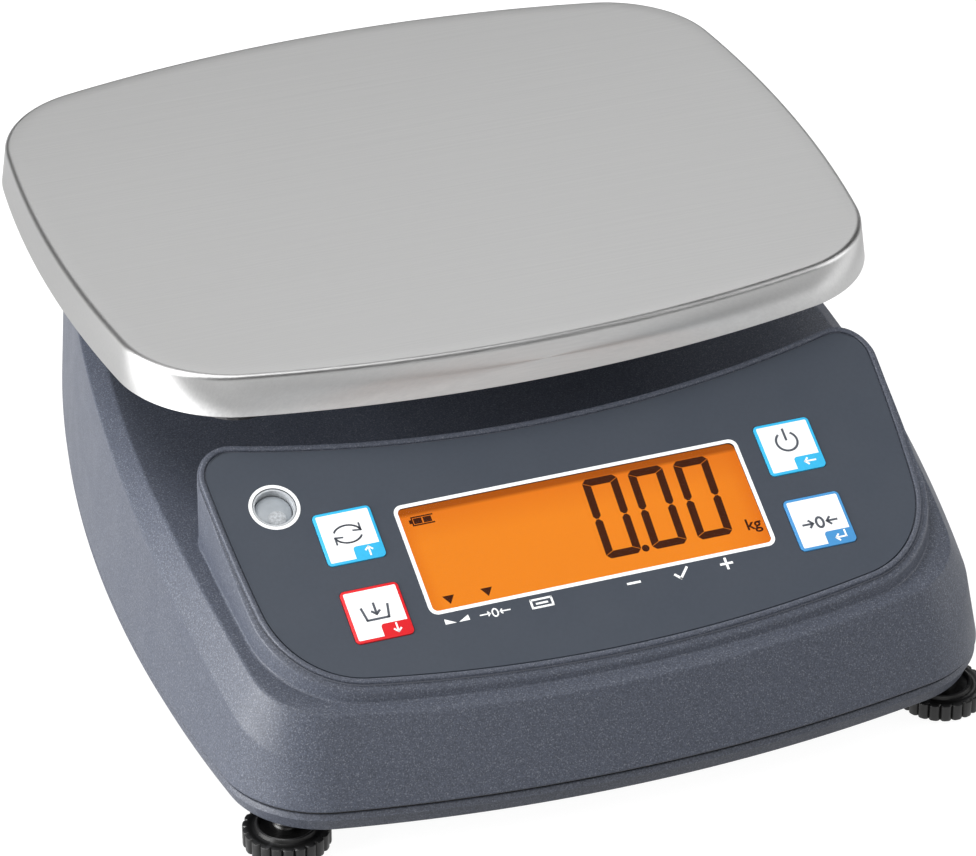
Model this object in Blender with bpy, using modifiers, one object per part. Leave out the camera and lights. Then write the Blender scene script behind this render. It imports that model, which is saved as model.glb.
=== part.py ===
"""Bench scale with a lift-off plate, a wedge housing, a tilted key panel and four levelling feet.

Metres, +Z up. +X is to the user's right and +Y away from the user. The pieces are drawn about the
weighing plate's centre and hang from one empty, which puts the origin on the ground under the
middle of the whole scale.
"""

import math

import bmesh
import bpy
from mathutils import Matrix, Vector

# Heights of the housing
TRAY_BOTTOM = 0.0105
TRAY_FLOOR = 0.0130
TRAY_KNEE = 0.0145
TRAY_TOP = 0.0166
PARTING = 0.0176
WALL = 0.0025
HOUSING_FRONT = -0.1785
HOUSING_REAR = 0.1120
HOUSING_HALF = 0.11565
CREASE_INSET = 0.00325
RIDGE_INSET = 0.0087

# Weighing plate
PLATE_TOP = 0.1075
PLATE_SHEET = 0.0012
PLATE_SKIRT = 0.01235
PLATE_FLARE = 0.0013
PLATE_FILLET = 0.0018
PLATE_UNDERSIDE = PLATE_TOP - PLATE_SHEET

# Tilted key panel
PANEL_SLOPE = 0.4967
PANEL_ANGLE = math.atan(PANEL_SLOPE)
PANEL_Y = -0.1266
PANEL_Z = 0.0644
POD_OUTSET = 0.0026
FOIL_RECESS = 0.0006
FOIL_THICKNESS = 0.0005
WINDOW_SIZE = (0.1012, 0.0346)
WINDOW_THICKNESS = 0.0014
VIEW_SIZE = (0.0960, 0.0300)
LEDGE_DEPTH = 0.0016
LEVEL_UV = (-0.0830, 0.0251)
LEVEL_HOLE_RADIUS = 0.0061

# Keys
KEY_SIDE = 0.0168
KEY_TOP = 0.0002
KEY_BOTTOM = -0.0008
KEY_POCKET = -0.0013
KEY_STEM_RADIUS = 0.0022
KEY_STEM_END = -0.0069
KEYS = {
    "mode": (-0.0656, 0.0116),
    "tare": (-0.0656, -0.0136),
    "power": (0.0656, 0.0116),
    "zero": (0.0656, -0.0136),
}

# Display stack, as depths under the panel plane
GLASS_TOP = -0.0034
GLASS_BOTTOM = -0.0062
LIGHT_BOTTOM = -0.0113
BOARD_TOP = -0.0115
BOARD_BOTTOM = -0.0131
BOARD_LOW = (-0.0725, -0.0320)
BOARD_HIGH = (0.0725, 0.0255)
BOARD_POSTS = ((0.069, -0.0285), (0.0530, 0.0220))

# Load cell and what it carries
CELL_LENGTH = 0.130
CELL_WIDTH = 0.030
CELL_BOTTOM = 0.0190
CELL_TOP = 0.0410
CELL_BOLTS = (0.041, 0.055)
BOLT_RADIUS = 0.003
BOLT_HOLE = 0.0034
POST_X = 0.048
POST_RADIUS = 0.014
SPIDER_BOTTOM = 0.0845
SPIDER_TOP = 0.0900
SPIDER_REACH = (0.080, 0.062)
COLLAR_RADIUS = 0.025
COLLAR_TOP = 0.0762
OPENING_RADIUS = 0.0200

# Levelling feet
FOOT_WHEEL_RADIUS = 0.0123
FOOT_STUD_RADIUS = 0.0040
FEET = {
    "front_left": (-0.0979, -0.1546),
    "front_right": (0.0979, -0.1546),
    "rear_left": (-0.0700, 0.0860),
    "rear_right": (0.0700, 0.0860),
}

# Battery bay
BAY_CENTRE = (0.0, 0.0470)
BAY_HALF = (0.0600, 0.0195)

# Screws that hold the shells together
SCREWS = {
    "front_left": (-0.1060, -0.1000),
    "front_right": (0.1060, -0.1000),
    "rear_left": (-0.0560, 0.1000),
    "rear_right": (0.0560, 0.1000),
}
COLUMN_RADIUS = 0.0045
COLUMN_TOP = 0.0400
WEB_HALF = 0.0012
WEB_TOP = 0.0340
WEB_SIDE_END = 0.1133
WEB_REAR_END = 0.1070

# Circuit boards, and the spots where the main one stands on bosses
MAIN_BOARD = ((-0.045, -0.092), (0.045, -0.034))
MAIN_BOARD_Z = (0.0200, 0.0216)
BOARD_SPOTS = ((-0.040, 0.040), (-0.087, -0.039))
CHIP_HALF = (0.0200, 0.0100)
CHIP_BOTTOM = -0.0150

# Power inlet in the rear wall: place across, height, and the face the nose starts from
JACK_X = -0.030
JACK_Z = 0.030
JACK_Y = 0.1015
JACK_HALF = (0.0070, 0.0065)
JACK_BODY = (-0.0085, 0.0035)
JACK_NOSE = 0.0100
JACK_BORE = 0.0130

# Battery and its cover
BATTERY_HALF = (0.0575, 0.0165)
BATTERY_Z = (0.0132, 0.0620)
COVER_TOP = 0.0128
COVER_GAP = 0.0003

GAP = 0.0002
FINE_GAP = 0.0001

# Each outline is three arcs (centre x, centre y, radius) for front, side and rear, a negative
# radius being a hollow arc, and the two corner radii.
HOUSING_OUTLINE = {
    "front": (0.0, HOUSING_FRONT + 0.428, 0.428),
    "side": (HOUSING_HALF - 0.525, -0.081, 0.525),
    "rear": (0.0, HOUSING_REAR - 0.500, 0.500),
    "corners": (0.0305, 0.014),
}
PLATE_OUTLINE = {
    "front": (0.0, -0.0954 + 0.3817, 0.3817),
    "side": (0.1148 - 0.4215, 0.0, 0.4215),
    "rear": (0.0, 0.0954 - 0.3817, 0.3817),
    "corners": (0.035, 0.035),
}
FOIL_OUTLINE = {
    "front": (0.0, -0.1615 + 0.475, 0.475),
    "side": (0.0993 - 0.4326, -0.083, 0.4326),
    "rear": (0.0, -0.0956 + 0.425, -0.425),
    "corners": (0.0267, 0.008),
}

# Moves the plate's centre back, so that the origin is under the middle of the housing
FRAME_Y = -(HOUSING_FRONT + HOUSING_REAR) / 2

PARTS = None
CUTTERS = None


# Scene and small helpers


def clear_scene():
    for obj in list(bpy.data.objects):
        bpy.data.objects.remove(obj, do_unlink=True)


def new_collection(name):
    collection = bpy.data.collections.new(name)
    bpy.context.scene.collection.children.link(collection)
    return collection


def material(name, colour, roughness, metallic=0.0, alpha=1.0):
    found = bpy.data.materials.get(name)
    if found:
        return found
    made = bpy.data.materials.new(name)
    made.use_nodes = True
    shader = made.node_tree.nodes["Principled BSDF"]
    shader.inputs["Base Color"].default_value = (*colour, 1.0)
    shader.inputs["Roughness"].default_value = roughness
    shader.inputs["Metallic"].default_value = metallic
    shader.inputs["Alpha"].default_value = alpha
    return made


def housing_grey():
    return material("housing_grey", (0.115, 0.12, 0.145), 0.55)


def foil_grey():
    return material("foil_grey", (0.10, 0.115, 0.14), 0.4)


def steel():
    return material("brushed_steel", (0.62, 0.62, 0.61), 0.35, 1.0)


def cast_aluminium():
    return material("cast_aluminium", (0.55, 0.56, 0.57), 0.5, 1.0)


def black_plastic():
    return material("black_plastic", (0.02, 0.02, 0.022), 0.45)


def black_rubber():
    return material("black_rubber", (0.025, 0.025, 0.027), 0.8)


def zinc():
    return material("zinc_plated", (0.6, 0.6, 0.58), 0.35, 1.0)


def board_green():
    return material("board_green", (0.03, 0.18, 0.07), 0.45)


def link(obj, coat, collection=None):
    (collection or PARTS).objects.link(obj)
    if coat:
        obj.data.materials.clear()
        obj.data.materials.append(coat)
    return obj


def mesh_object(name, builder, coat, collection=None):
    data = bpy.data.meshes.new(name)
    bmesh.ops.recalc_face_normals(builder, faces=builder.faces)
    builder.to_mesh(data)
    builder.free()
    return link(bpy.data.objects.new(name, data), coat, collection)


def helper(obj):
    """Makes an object a cutter: drawn as wire and left out of every render."""
    obj.hide_render = True
    obj.display_type = "WIRE"
    return obj


def boolean(obj, other, operation):
    step = obj.modifiers.new(other.name, "BOOLEAN")
    step.operation = operation
    step.solver = "EXACT"
    step.object = other


def cut(obj, *others):
    for other in others:
        boolean(obj, other, "DIFFERENCE")


def join(obj, *others):
    for other in others:
        boolean(obj, other, "UNION")


def box(name, low, high, coat, collection=None):
    builder = bmesh.new()
    size = [b - a for a, b in zip(low, high)]
    middle = [(a + b) / 2 for a, b in zip(low, high)]
    bmesh.ops.create_cube(builder, size=1.0)
    bmesh.ops.scale(builder, vec=size, verts=builder.verts)
    bmesh.ops.translate(builder, vec=middle, verts=builder.verts)
    return mesh_object(name, builder, coat, collection)


def cylinder(name, centre, radius, low, high, coat, collection=None, segments=24):
    """An upright cylinder from one height to another, its origin on its axis at the ground."""
    builder = bmesh.new()
    bmesh.ops.create_cone(
        builder,
        cap_ends=True,
        segments=segments,
        radius1=radius,
        radius2=radius,
        depth=high - low,
    )
    bmesh.ops.translate(builder, vec=(0, 0, (low + high) / 2), verts=builder.verts)
    obj = mesh_object(name, builder, coat, collection)
    obj.location = (centre[0], centre[1], 0)
    return obj


def cut_box(name, low, high):
    return helper(box(name, low, high, None, CUTTERS))


def cut_cylinder(name, centre, radius, low, high, segments=24):
    return helper(cylinder(name, centre, radius, low, high, None, CUTTERS, segments))


def turned(name, centre, profile, coat, segments=24):
    """A body turned about an upright axis from a closed profile of (radius, height) points."""
    builder = bmesh.new()
    points = [builder.verts.new((r, 0, z)) for r, z in profile]
    for a, b in zip(points, points[1:]):
        builder.edges.new((a, b))
    data = bpy.data.meshes.new(name)
    builder.to_mesh(data)
    builder.free()
    obj = link(bpy.data.objects.new(name, data), coat)
    screw = obj.modifiers.new("Screw", "SCREW")
    screw.steps = segments
    screw.render_steps = segments
    screw.use_merge_vertices = True
    screw.merge_threshold = 0.00001
    obj.location = (centre[0], centre[1], 0)
    return obj


def on_panel(obj):
    """Places an object made in panel units: x across, y up the slope, z out of the panel."""
    obj.location = (0, PANEL_Y, PANEL_Z)
    obj.rotation_euler = (PANEL_ANGLE, 0, 0)
    return obj


def panel_point(u, v, w=0.0):
    turn = Matrix.Rotation(PANEL_ANGLE, 3, "X")
    return Vector((0, PANEL_Y, PANEL_Z)) + turn @ Vector((u, v, w))


# Outlines made of tangent arcs


def corner_centre(first, second, radius, side):
    """The centre of the fillet between two arcs, on the side (+1 rear, -1 front) asked for."""
    a, b = Vector(first[:2]), Vector(second[:2])
    ra, rb = abs(first[2] - radius), abs(second[2] - radius)
    gap = (b - a).length
    along = (ra * ra - rb * rb + gap * gap) / (2 * gap)
    away = math.sqrt(ra * ra - along * along)
    direction = (b - a).normalized()
    normal = Vector((-direction.y, direction.x))
    found = [a + direction * along + normal * s * away for s in (-1, 1)]
    found = [p for p in found if p.x > 0]
    return max(found, key=lambda p: side * p.y)


def touch(arc, centre):
    """Where a fillet's circle touches an arc."""
    middle = Vector(arc[:2])
    return middle + (centre - middle).normalized() * abs(arc[2])


def arc_points(centre, start, end, steps):
    """Points on the arc from start up to, but not including, end, the short way round."""
    centre = Vector(centre)
    a, b = start - centre, end - centre
    turn = math.atan2(a.x * b.y - a.y * b.x, a.dot(b))
    found = []
    for i in range(steps):
        angle = turn * i / steps
        cos, sin = math.cos(angle), math.sin(angle)
        found.append(centre + Vector((a.x * cos - a.y * sin, a.x * sin + a.y * cos)))
    return found


def half_outline(outline, inset=0.0, steps=(5, 4, 8, 4, 5)):
    """The right half of an outline, from the front's middle to the rear's, moved inwards."""
    front, side, rear = (
        (x, y, r - inset) for x, y, r in (outline[k] for k in ("front", "side", "rear"))
    )
    radii = [max(r - inset, 0.0015) for r in outline["corners"]]
    near = corner_centre(front, side, radii[0], -1)
    far = corner_centre(side, rear, radii[1], 1)
    start = Vector((0, front[1] - front[2]))
    end = Vector((0, rear[1] + rear[2]))
    a, b = touch(front, near), touch(side, near)
    c, d = touch(side, far), touch(rear, far)
    points = arc_points(front[:2], start, a, steps[0])
    points += arc_points(near, a, b, steps[1])
    points += arc_points(side[:2], b, c, steps[2])
    points += arc_points(far, c, d, steps[3])
    points += arc_points(rear[:2], d, end, steps[4])
    return points + [end]


def loft(name, rings, coat, collection=None):
    """A closed body through rings of right-half points, mirrored to the left and capped.

    A cap is strips from right to left, or one face where the outline's rear is hollow.
    """
    builder = bmesh.new()
    rows = []
    for ring in rings:
        right = [builder.verts.new(p) for p in ring]
        left = [builder.verts.new((-p[0], p[1], p[2])) for p in ring[1:-1]]
        rows.append((right, [right[0], *left, right[-1]]))
    for lower, upper in zip(rows, rows[1:]):
        for side in (0, 1):
            a, b = lower[side], upper[side]
            for i in range(len(a) - 1):
                builder.faces.new((a[i], a[i + 1], b[i + 1], b[i]))
    for right, left in (rows[0], rows[-1]):
        last = len(right) - 1
        if right[last].co.y < right[last - 2].co.y:
            builder.faces.new([*right, *reversed(left[1:-1])])
            continue
        builder.faces.new((right[0], right[1], left[1]))
        for i in range(1, last - 1):
            builder.faces.new((right[i], right[i + 1], left[i + 1], left[i]))
        builder.faces.new((right[last - 1], right[last], left[last - 1]))
    return mesh_object(name, builder, coat, collection)


def ring(outline, inset, height, steps=(5, 4, 8, 4, 5)):
    """One ring for a loft: an outline at a height, which is a number or a function of y."""
    found = []
    for p in half_outline(outline, inset, steps):
        found.append((p.x, p.y, height(p.y) if callable(height) else height))
    return found


# Surfaces of the housing, as heights over y


def smooth_least(a, b, width):
    """The lesser of two heights, with the corner between them rounded off."""
    mix = min(max(0.5 + 0.5 * (b - a) / width, 0.0), 1.0)
    return b + (a - b) * mix - width * mix * (1 - mix)


def panel_height(y):
    return PANEL_Z + PANEL_SLOPE * (y - PANEL_Y)


def plateau_height(y):
    """The upper edge of the housing's sides: a slope at the front, nearly level under the plate."""
    front = 0.0538 + 0.467 * (y + 0.150)
    rear = 0.0602 + 0.123 * (y + 0.090)
    return smooth_least(front, rear, 0.0254)


def shoulder_height(y):
    """The crease between the upright side wall and the band that leans in above it."""
    front = 0.0389 + 0.411 * (y + 0.150)
    rear = 0.0567 + 0.128 * (y + 0.090)
    return smooth_least(front, rear, 0.0303)


def shell_rings(wall):
    """The upper housing's outside, or its inside when a wall thickness is given."""
    foot = PARTING if wall == 0 else PARTING - 0.001
    drop = wall * 1.1
    return [
        ring(HOUSING_OUTLINE, wall, foot),
        ring(HOUSING_OUTLINE, wall + CREASE_INSET, lambda y: shoulder_height(y) - drop),
        ring(HOUSING_OUTLINE, wall + RIDGE_INSET, lambda y: plateau_height(y) - drop),
    ]


def pod_foot(y):
    """The flat underside of the panel block, a little under the plateau at front and rear."""
    return 0.0393 + 0.242 * (y + 0.165)


def pod_rings(inset, top, bottom):
    """The raised panel block, from a depth under its foot up to a depth under the panel plane."""
    lift = top / math.cos(PANEL_ANGLE)
    return [
        ring(FOIL_OUTLINE, inset - 0.0011, lambda y: pod_foot(y) - bottom),
        ring(FOIL_OUTLINE, inset - 0.0009, lambda y: panel_height(y) + lift - 0.0014),
        ring(FOIL_OUTLINE, inset, lambda y: panel_height(y) + lift),
    ]


# Housing


def screw_web(name, place):
    """A rib from a screw column to the nearest wall: sideways at the front, rearwards at the back."""
    x, y = place
    if y < 0:
        ends = sorted((x, math.copysign(WEB_SIDE_END, x)))
        low, high = (ends[0], y - WEB_HALF), (ends[1], y + WEB_HALF)
    else:
        low, high = (x - WEB_HALF, y), (x + WEB_HALF, WEB_REAR_END)
    return cut_box(f"web_{name}", (*low, PARTING + 0.001), (*high, WEB_TOP))


def upper_housing():
    shell = loft("upper_housing", shell_rings(0.0), housing_grey())
    join(shell, helper(loft("pod_block", pod_rings(-POD_OUTSET, 0.0, 0.0), None, CUTTERS)))
    collar = cut_cylinder("collar", (POST_X, 0), COLLAR_RADIUS, 0.066, COLLAR_TOP)
    join(shell, collar)
    cut(shell, helper(loft("shell_inside", shell_rings(WALL), None, CUTTERS)))
    inside = pod_rings(WALL - POD_OUTSET, -FOIL_RECESS - WALL, 0.002)
    cut(shell, helper(loft("pod_inside", inside, None, CUTTERS)))
    recess = pod_rings(0.0, -FOIL_RECESS, 0.0)[-1:]
    recess.append([(x, y, z + 0.010) for x, y, z in recess[0]])
    cut(shell, helper(loft("foil_recess", recess, None, CUTTERS)))
    for name, place in SCREWS.items():
        foot = PARTING - 0.0002
        column = cut_cylinder(f"column_{name}", place, COLUMN_RADIUS, foot, COLUMN_TOP, 12)
        join(shell, column, screw_web(name, place))
        cut(shell, cut_cylinder(f"pilot_{name}", place, 0.0019, 0.010, WEB_TOP, 12))
    for side in (-1, 1):
        for u, v in BOARD_POSTS:
            post = cut_cylinder("board_post", (0, 0), 0.003, BOARD_TOP + GAP, -0.0020, 12)
            join(shell, place_on_panel(post, side * u, v))
    cut(shell, *panel_openings())
    cut(shell, cut_cylinder("post_opening", (POST_X, 0), OPENING_RADIUS, 0.050, 0.090))
    cut(shell, rearwards(cut_cylinder("jack_hole", (0, 0), 0.0058, -0.010, 0.020)))
    return shell


def rearwards(obj):
    """Lays an upright shape along +Y, on the axis of the power inlet."""
    obj.location = (JACK_X, JACK_Y, JACK_Z)
    obj.rotation_euler = (-math.pi / 2, 0, 0)
    return obj


def place_on_panel(obj, u, v):
    """Moves an object made about its own z axis to a place on the panel, along its normal."""
    obj.location = panel_point(u, v)
    obj.rotation_euler = (PANEL_ANGLE, 0, 0)
    return obj


def panel_openings():
    """The ledge and opening for the display, the key pockets with their holes, and the level's hole."""
    u, v = (s / 2 + GAP for s in WINDOW_SIZE)
    found = [on_panel(cut_box("window_ledge", (-u, -v, -LEDGE_DEPTH), (u, v, 0.005)))]
    u, v = (s / 2 for s in VIEW_SIZE)
    found.append(on_panel(cut_box("window_opening", (-u, -v, -0.010), (u, v, 0.005))))
    for name, (u, v) in KEYS.items():
        half = KEY_SIDE / 2 + GAP
        low, high = (u - half, v - half, KEY_POCKET), (u + half, v + half, 0.005)
        found.append(on_panel(cut_box(f"pocket_{name}", low, high)))
        hole = cut_cylinder(f"stem_hole_{name}", (0, 0), 0.0027, -0.010, 0.002, 16)
        found.append(place_on_panel(hole, u, v))
    level = cut_cylinder("level_opening", (0, 0), LEVEL_HOLE_RADIUS, -0.012, 0.004)
    found.append(place_on_panel(level, *LEVEL_UV))
    return found


def base_tray():
    rings = [
        ring(HOUSING_OUTLINE, 0.0021, TRAY_BOTTOM),
        ring(HOUSING_OUTLINE, 0.0010, TRAY_KNEE),
        ring(HOUSING_OUTLINE, 0.0006, TRAY_TOP),
    ]
    tray = loft("base_tray", rings, housing_grey())
    inside = [
        ring(HOUSING_OUTLINE, 0.0050, TRAY_FLOOR),
        ring(HOUSING_OUTLINE, 0.0034, TRAY_KNEE + 0.0006),
        ring(HOUSING_OUTLINE, 0.0032, TRAY_TOP + 0.001),
    ]
    cut(tray, helper(loft("tray_inside", inside, None, CUTTERS)))
    for name, place in FEET.items():
        boss = cut_cylinder(f"foot_boss_{name}", place, 0.0074, TRAY_FLOOR - 0.001, TRAY_TOP - GAP)
        join(tray, boss)
        cut(tray, cut_cylinder(f"insert_seat_{name}", place, 0.0059, 0.0124, 0.0190))
        cut(tray, cut_cylinder(f"stud_hole_{name}", place, 0.0048, 0.0090, 0.0160))
    for name, place in SCREWS.items():
        boss = cut_cylinder(f"screw_boss_{name}", place, 0.0045, 0.0125, TRAY_TOP, 12)
        join(tray, boss)
        cut(tray, cut_cylinder(f"screw_hole_{name}", place, 0.0022, 0.0090, 0.0200, 12))
        cut(tray, cut_cylinder(f"head_seat_{name}", place, 0.0040, 0.0090, 0.0126, 16))
    x, y = BAY_CENTRE
    wide, deep = BAY_HALF
    rim = 0.0022
    low, high = (x - wide - rim, y - deep - rim, 0.0125), (x + wide + rim, y + deep + rim, 0.0240)
    join(tray, cut_box("bay_wall", low, high))
    cut(tray, cut_box("bay", (x - wide, y - deep, 0.009), (x + wide, y + deep, 0.030)))
    for bolt in CELL_BOLTS:
        cut(tray, cut_cylinder("cell_bolt_hole", (-bolt, 0), BOLT_HOLE, 0.009, 0.016, 16))
    join(tray, cut_cylinder("stop_boss", (POST_X, 0), 0.0060, 0.0125, 0.0150, 16))
    cut(tray, cut_cylinder("stop_hole", (POST_X, 0), 0.0030, 0.009, 0.016, 16))
    for x in BOARD_SPOTS[0]:
        for y in BOARD_SPOTS[1]:
            join(tray, cut_cylinder("board_boss", (x, y), 0.0030, 0.0125, 0.0198, 12))
    return tray


def housing_gasket():
    outer = [ring(HOUSING_OUTLINE, 0.0012, z) for z in (TRAY_TOP + FINE_GAP, PARTING - FINE_GAP)]
    gasket = loft("housing_gasket", outer, black_rubber())
    inner = [ring(HOUSING_OUTLINE, 0.0024, z) for z in (TRAY_TOP - 0.001, PARTING + 0.001)]
    cut(gasket, helper(loft("gasket_inside", inner, None, CUTTERS)))
    return gasket


def housing_screws():
    for name, place in SCREWS.items():
        profile = [(0, 0.030), (0.0017, 0.030), (0.0017, 0.0124), (0.0036, 0.0124)]
        profile += [(0.0036, 0.0108), (0, 0.0108)]
        turned(f"housing_screw_{name}", place, profile, zinc(), 12)


def dust_seal():
    """The rubber ring that closes the opening round the load post."""
    profile = [(0.0153, 0.0778), (0.0235, 0.0778), (0.0235, COLLAR_TOP + GAP)]
    profile += [(0.0197, COLLAR_TOP + GAP), (0.0197, 0.0700), (0.0153, 0.0700)]
    return turned("dust_seal", (POST_X, 0), [*profile, profile[0]], black_rubber())


# Panel


def keypad_foil():
    lift = 1 / math.cos(PANEL_ANGLE)
    levels = (-FOIL_RECESS + 0.00004, -FOIL_RECESS + 0.00004 + FOIL_THICKNESS)
    rings = []
    for level in levels:
        rings.append(ring(FOIL_OUTLINE, GAP, lambda y: panel_height(y) + level * lift))
    foil = loft("keypad_foil", rings, foil_grey())
    u, v = (s / 2 + GAP for s in WINDOW_SIZE)
    cut(foil, on_panel(cut_box("foil_window", (-u, -v, -0.005), (u, v, 0.005))))
    for name, (u, v) in KEYS.items():
        half = KEY_SIDE / 2 + GAP
        low, high = (u - half, v - half, -0.005), (u + half, v + half, 0.005)
        cut(foil, on_panel(cut_box(f"foil_key_{name}", low, high)))
    hole = cut_cylinder("foil_level", (0, 0), LEVEL_HOLE_RADIUS, -0.004, 0.004)
    cut(foil, place_on_panel(hole, *LEVEL_UV))
    return foil


def display_window():
    u, v = (s / 2 for s in WINDOW_SIZE)
    coat = material("window_clear", (0.9, 0.9, 0.88), 0.05, 0.0, 0.35)
    low = -LEDGE_DEPTH + FINE_GAP
    return on_panel(box("display_window", (-u, -v, low), (u, v, low + WINDOW_THICKNESS), coat))


def display_stack():
    u, v = (s / 2 - 0.0004 for s in VIEW_SIZE)
    orange = material("display_orange", (1.0, 0.28, 0.03), 0.3)
    frame = material("white_plastic", (0.75, 0.75, 0.72), 0.5)
    on_panel(box("display_glass", (-u, -v, GLASS_BOTTOM), (u, v, GLASS_TOP), orange))
    high = (u, v, GLASS_BOTTOM - FINE_GAP)
    on_panel(box("display_backlight", (-u, -v, LIGHT_BOTTOM), high, frame))
    low, high = (*BOARD_LOW, BOARD_BOTTOM), (*BOARD_HIGH, BOARD_TOP)
    board = box("display_board", low, high, board_green())
    u, v = CHIP_HALF
    chip = cut_box("display_driver", (-u, -v, CHIP_BOTTOM), (u, v, BOARD_BOTTOM + FINE_GAP))
    join(on_panel(board), on_panel(chip))


def key(name, place):
    """A key pad with the stem that reaches its switch; its origin is on the stem's axis."""
    half = KEY_SIDE / 2
    coat = material("key_white", (0.85, 0.86, 0.85), 0.35)
    pad = box(f"key_{name}", (-half, -half, KEY_BOTTOM), (half, half, KEY_TOP), coat)
    low, high = KEY_STEM_END, (KEY_BOTTOM + KEY_TOP) / 2
    stem = cut_cylinder(f"key_stem_{name}", (0, 0), KEY_STEM_RADIUS, low, high, 16)
    join(place_on_panel(pad, *place), place_on_panel(stem, *place))


def tact_switch(name, place):
    """The switch under a key, on the display board."""
    low = BOARD_TOP + FINE_GAP
    body = box(f"switch_{name}", (-0.003, -0.003, low), (0.003, 0.003, -0.0081), black_plastic())
    button = cut_cylinder(f"switch_button_{name}", (0, 0), 0.0017, -0.0085, -0.0075, 12)
    join(place_on_panel(body, *place), place_on_panel(button, *place))


def level_vial():
    """The bubble vial, upright under its hole in the panel, and the cup that holds it."""
    top = panel_point(*LEVEL_UV, -0.0085)
    place = (top.x, top.y)
    glass = material("vial_glass", (0.75, 0.85, 0.55), 0.1, 0.0, 0.5)
    cylinder("level_vial", place, 0.0060, 0.0587, 0.0655, glass)
    profile = [(0.0063, 0.0662), (0.0080, 0.0662), (0.0080, 0.0570), (0, 0.0570)]
    profile += [(0, 0.0585), (0.0063, 0.0585)]
    turned("level_holder", place, [*profile, profile[0]], black_plastic())


# Load cell, carrier and plate


def load_cell():
    """A single point cell: a bar thinned by two cross holes joined by a slot."""
    x, y = CELL_LENGTH / 2, CELL_WIDTH / 2
    low, high = (-x, -y, CELL_BOTTOM), (x, y, CELL_TOP)
    cell = box("load_cell", low, high, material("cell_aluminium", (0.7, 0.71, 0.72), 0.4, 1.0))
    middle = (CELL_BOTTOM + CELL_TOP) / 2
    for side in (-1, 1):
        hole = cut_cylinder("flexure_hole", (0, 0), 0.0085, -0.020, 0.020)
        hole.location = (side * 0.016, 0, middle)
        hole.rotation_euler = (math.pi / 2, 0, 0)
        cut(cell, hole)
    cut(cell, cut_box("flexure_slot", (-0.016, -0.02, middle - 0.004), (0.016, 0.02, middle + 0.004)))
    for bolt in CELL_BOLTS:
        cut(cell, cut_cylinder("cell_hole", (-bolt, 0), BOLT_HOLE, 0.015, 0.031, 16))
        cut(cell, cut_cylinder("cell_hole", (bolt, 0), BOLT_HOLE, 0.028, 0.045, 16))
    return cell


def cell_mounting():
    """The block under the cell's fixed end, its two bolts, and the stop under the free end."""
    low = (-0.063, -0.0145, TRAY_FLOOR + FINE_GAP)
    spacer = box("load_cell_spacer", low, (-0.033, 0.0145, CELL_BOTTOM - FINE_GAP), zinc())
    for i, bolt in enumerate(CELL_BOLTS):
        cut(spacer, cut_cylinder("spacer_hole", (-bolt, 0), BOLT_HOLE, 0.010, 0.022, 16))
        profile = [(0, 0.0290), (BOLT_RADIUS, 0.0290), (BOLT_RADIUS, 0.0103)]
        profile += [(0.0050, 0.0103), (0.0050, 0.0075), (0, 0.0075)]
        turned(f"load_cell_bolt_{i + 1}", (-bolt, 0), profile, zinc(), 16)
    profile = [(0, 0.0183), (0.0027, 0.0183), (0.0027, 0.0103), (0.0045, 0.0103)]
    profile += [(0.0045, 0.0085), (0, 0.0085)]
    turned("overload_stop", (POST_X, 0), profile, zinc(), 12)


def load_post():
    """The column from the cell's free end up to the spider."""
    low, high = CELL_TOP + GAP, SPIDER_BOTTOM - FINE_GAP
    post = cylinder("load_post", (POST_X, 0), POST_RADIUS, low, high, cast_aluminium())
    for bolt in CELL_BOLTS:
        cut(post, cut_cylinder("post_hole", (bolt, 0), BOLT_HOLE, 0.030, 0.090, 16))


def carrier_spider():
    """The casting under the plate: a middle web and four arms that end in cups for the pads."""
    low, high = (-0.040, -0.026, SPIDER_BOTTOM), (0.066, 0.026, SPIDER_TOP)
    spider = box("carrier_spider", low, high, cast_aluminium())
    x, y = SPIDER_REACH
    for side in (-1, 1):
        length = math.hypot(x, y)
        arm = cut_box("arm", (-length, -0.009, SPIDER_BOTTOM + 0.0005), (length, 0.009, 0.0925))
        arm.rotation_euler = (0, 0, side * math.atan2(y, x))
        join(spider, arm)
    for sx in (-1, 1):
        for sy in (-1, 1):
            place = (sx * x, sy * y)
            join(spider, cut_cylinder("cup", place, 0.0115, SPIDER_BOTTOM + 0.001, 0.0990))
            cut(spider, cut_cylinder("cup_seat", place, 0.0083, 0.0950, 0.1010))
    for bolt in CELL_BOLTS:
        cut(spider, cut_cylinder("spider_hole", (bolt, 0), BOLT_HOLE, 0.080, 0.100, 16))
        cut(spider, cut_cylinder("spider_seat", (bolt, 0), 0.0056, SPIDER_TOP, 0.100, 16))
    return spider


def carrier_bolts():
    for i, bolt in enumerate(CELL_BOLTS):
        profile = [(0, 0.0945), (0.0050, 0.0945), (0.0050, SPIDER_TOP + FINE_GAP)]
        profile += [(BOLT_RADIUS, SPIDER_TOP + FINE_GAP), (BOLT_RADIUS, 0.0300), (0, 0.0300)]
        turned(f"carrier_bolt_{i + 1}", (bolt, 0), profile, zinc(), 16)


def plate_pads():
    for name_y, sy in (("front", -1), ("rear", 1)):
        for name_x, sx in (("left", -1), ("right", 1)):
            place = (sx * SPIDER_REACH[0], sy * SPIDER_REACH[1])
            high = PLATE_UNDERSIDE - FINE_GAP
            name = f"plate_pad_{name_y}_{name_x}"
            cylinder(name, place, 0.0080, 0.0951, high, black_rubber(), segments=20)


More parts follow.
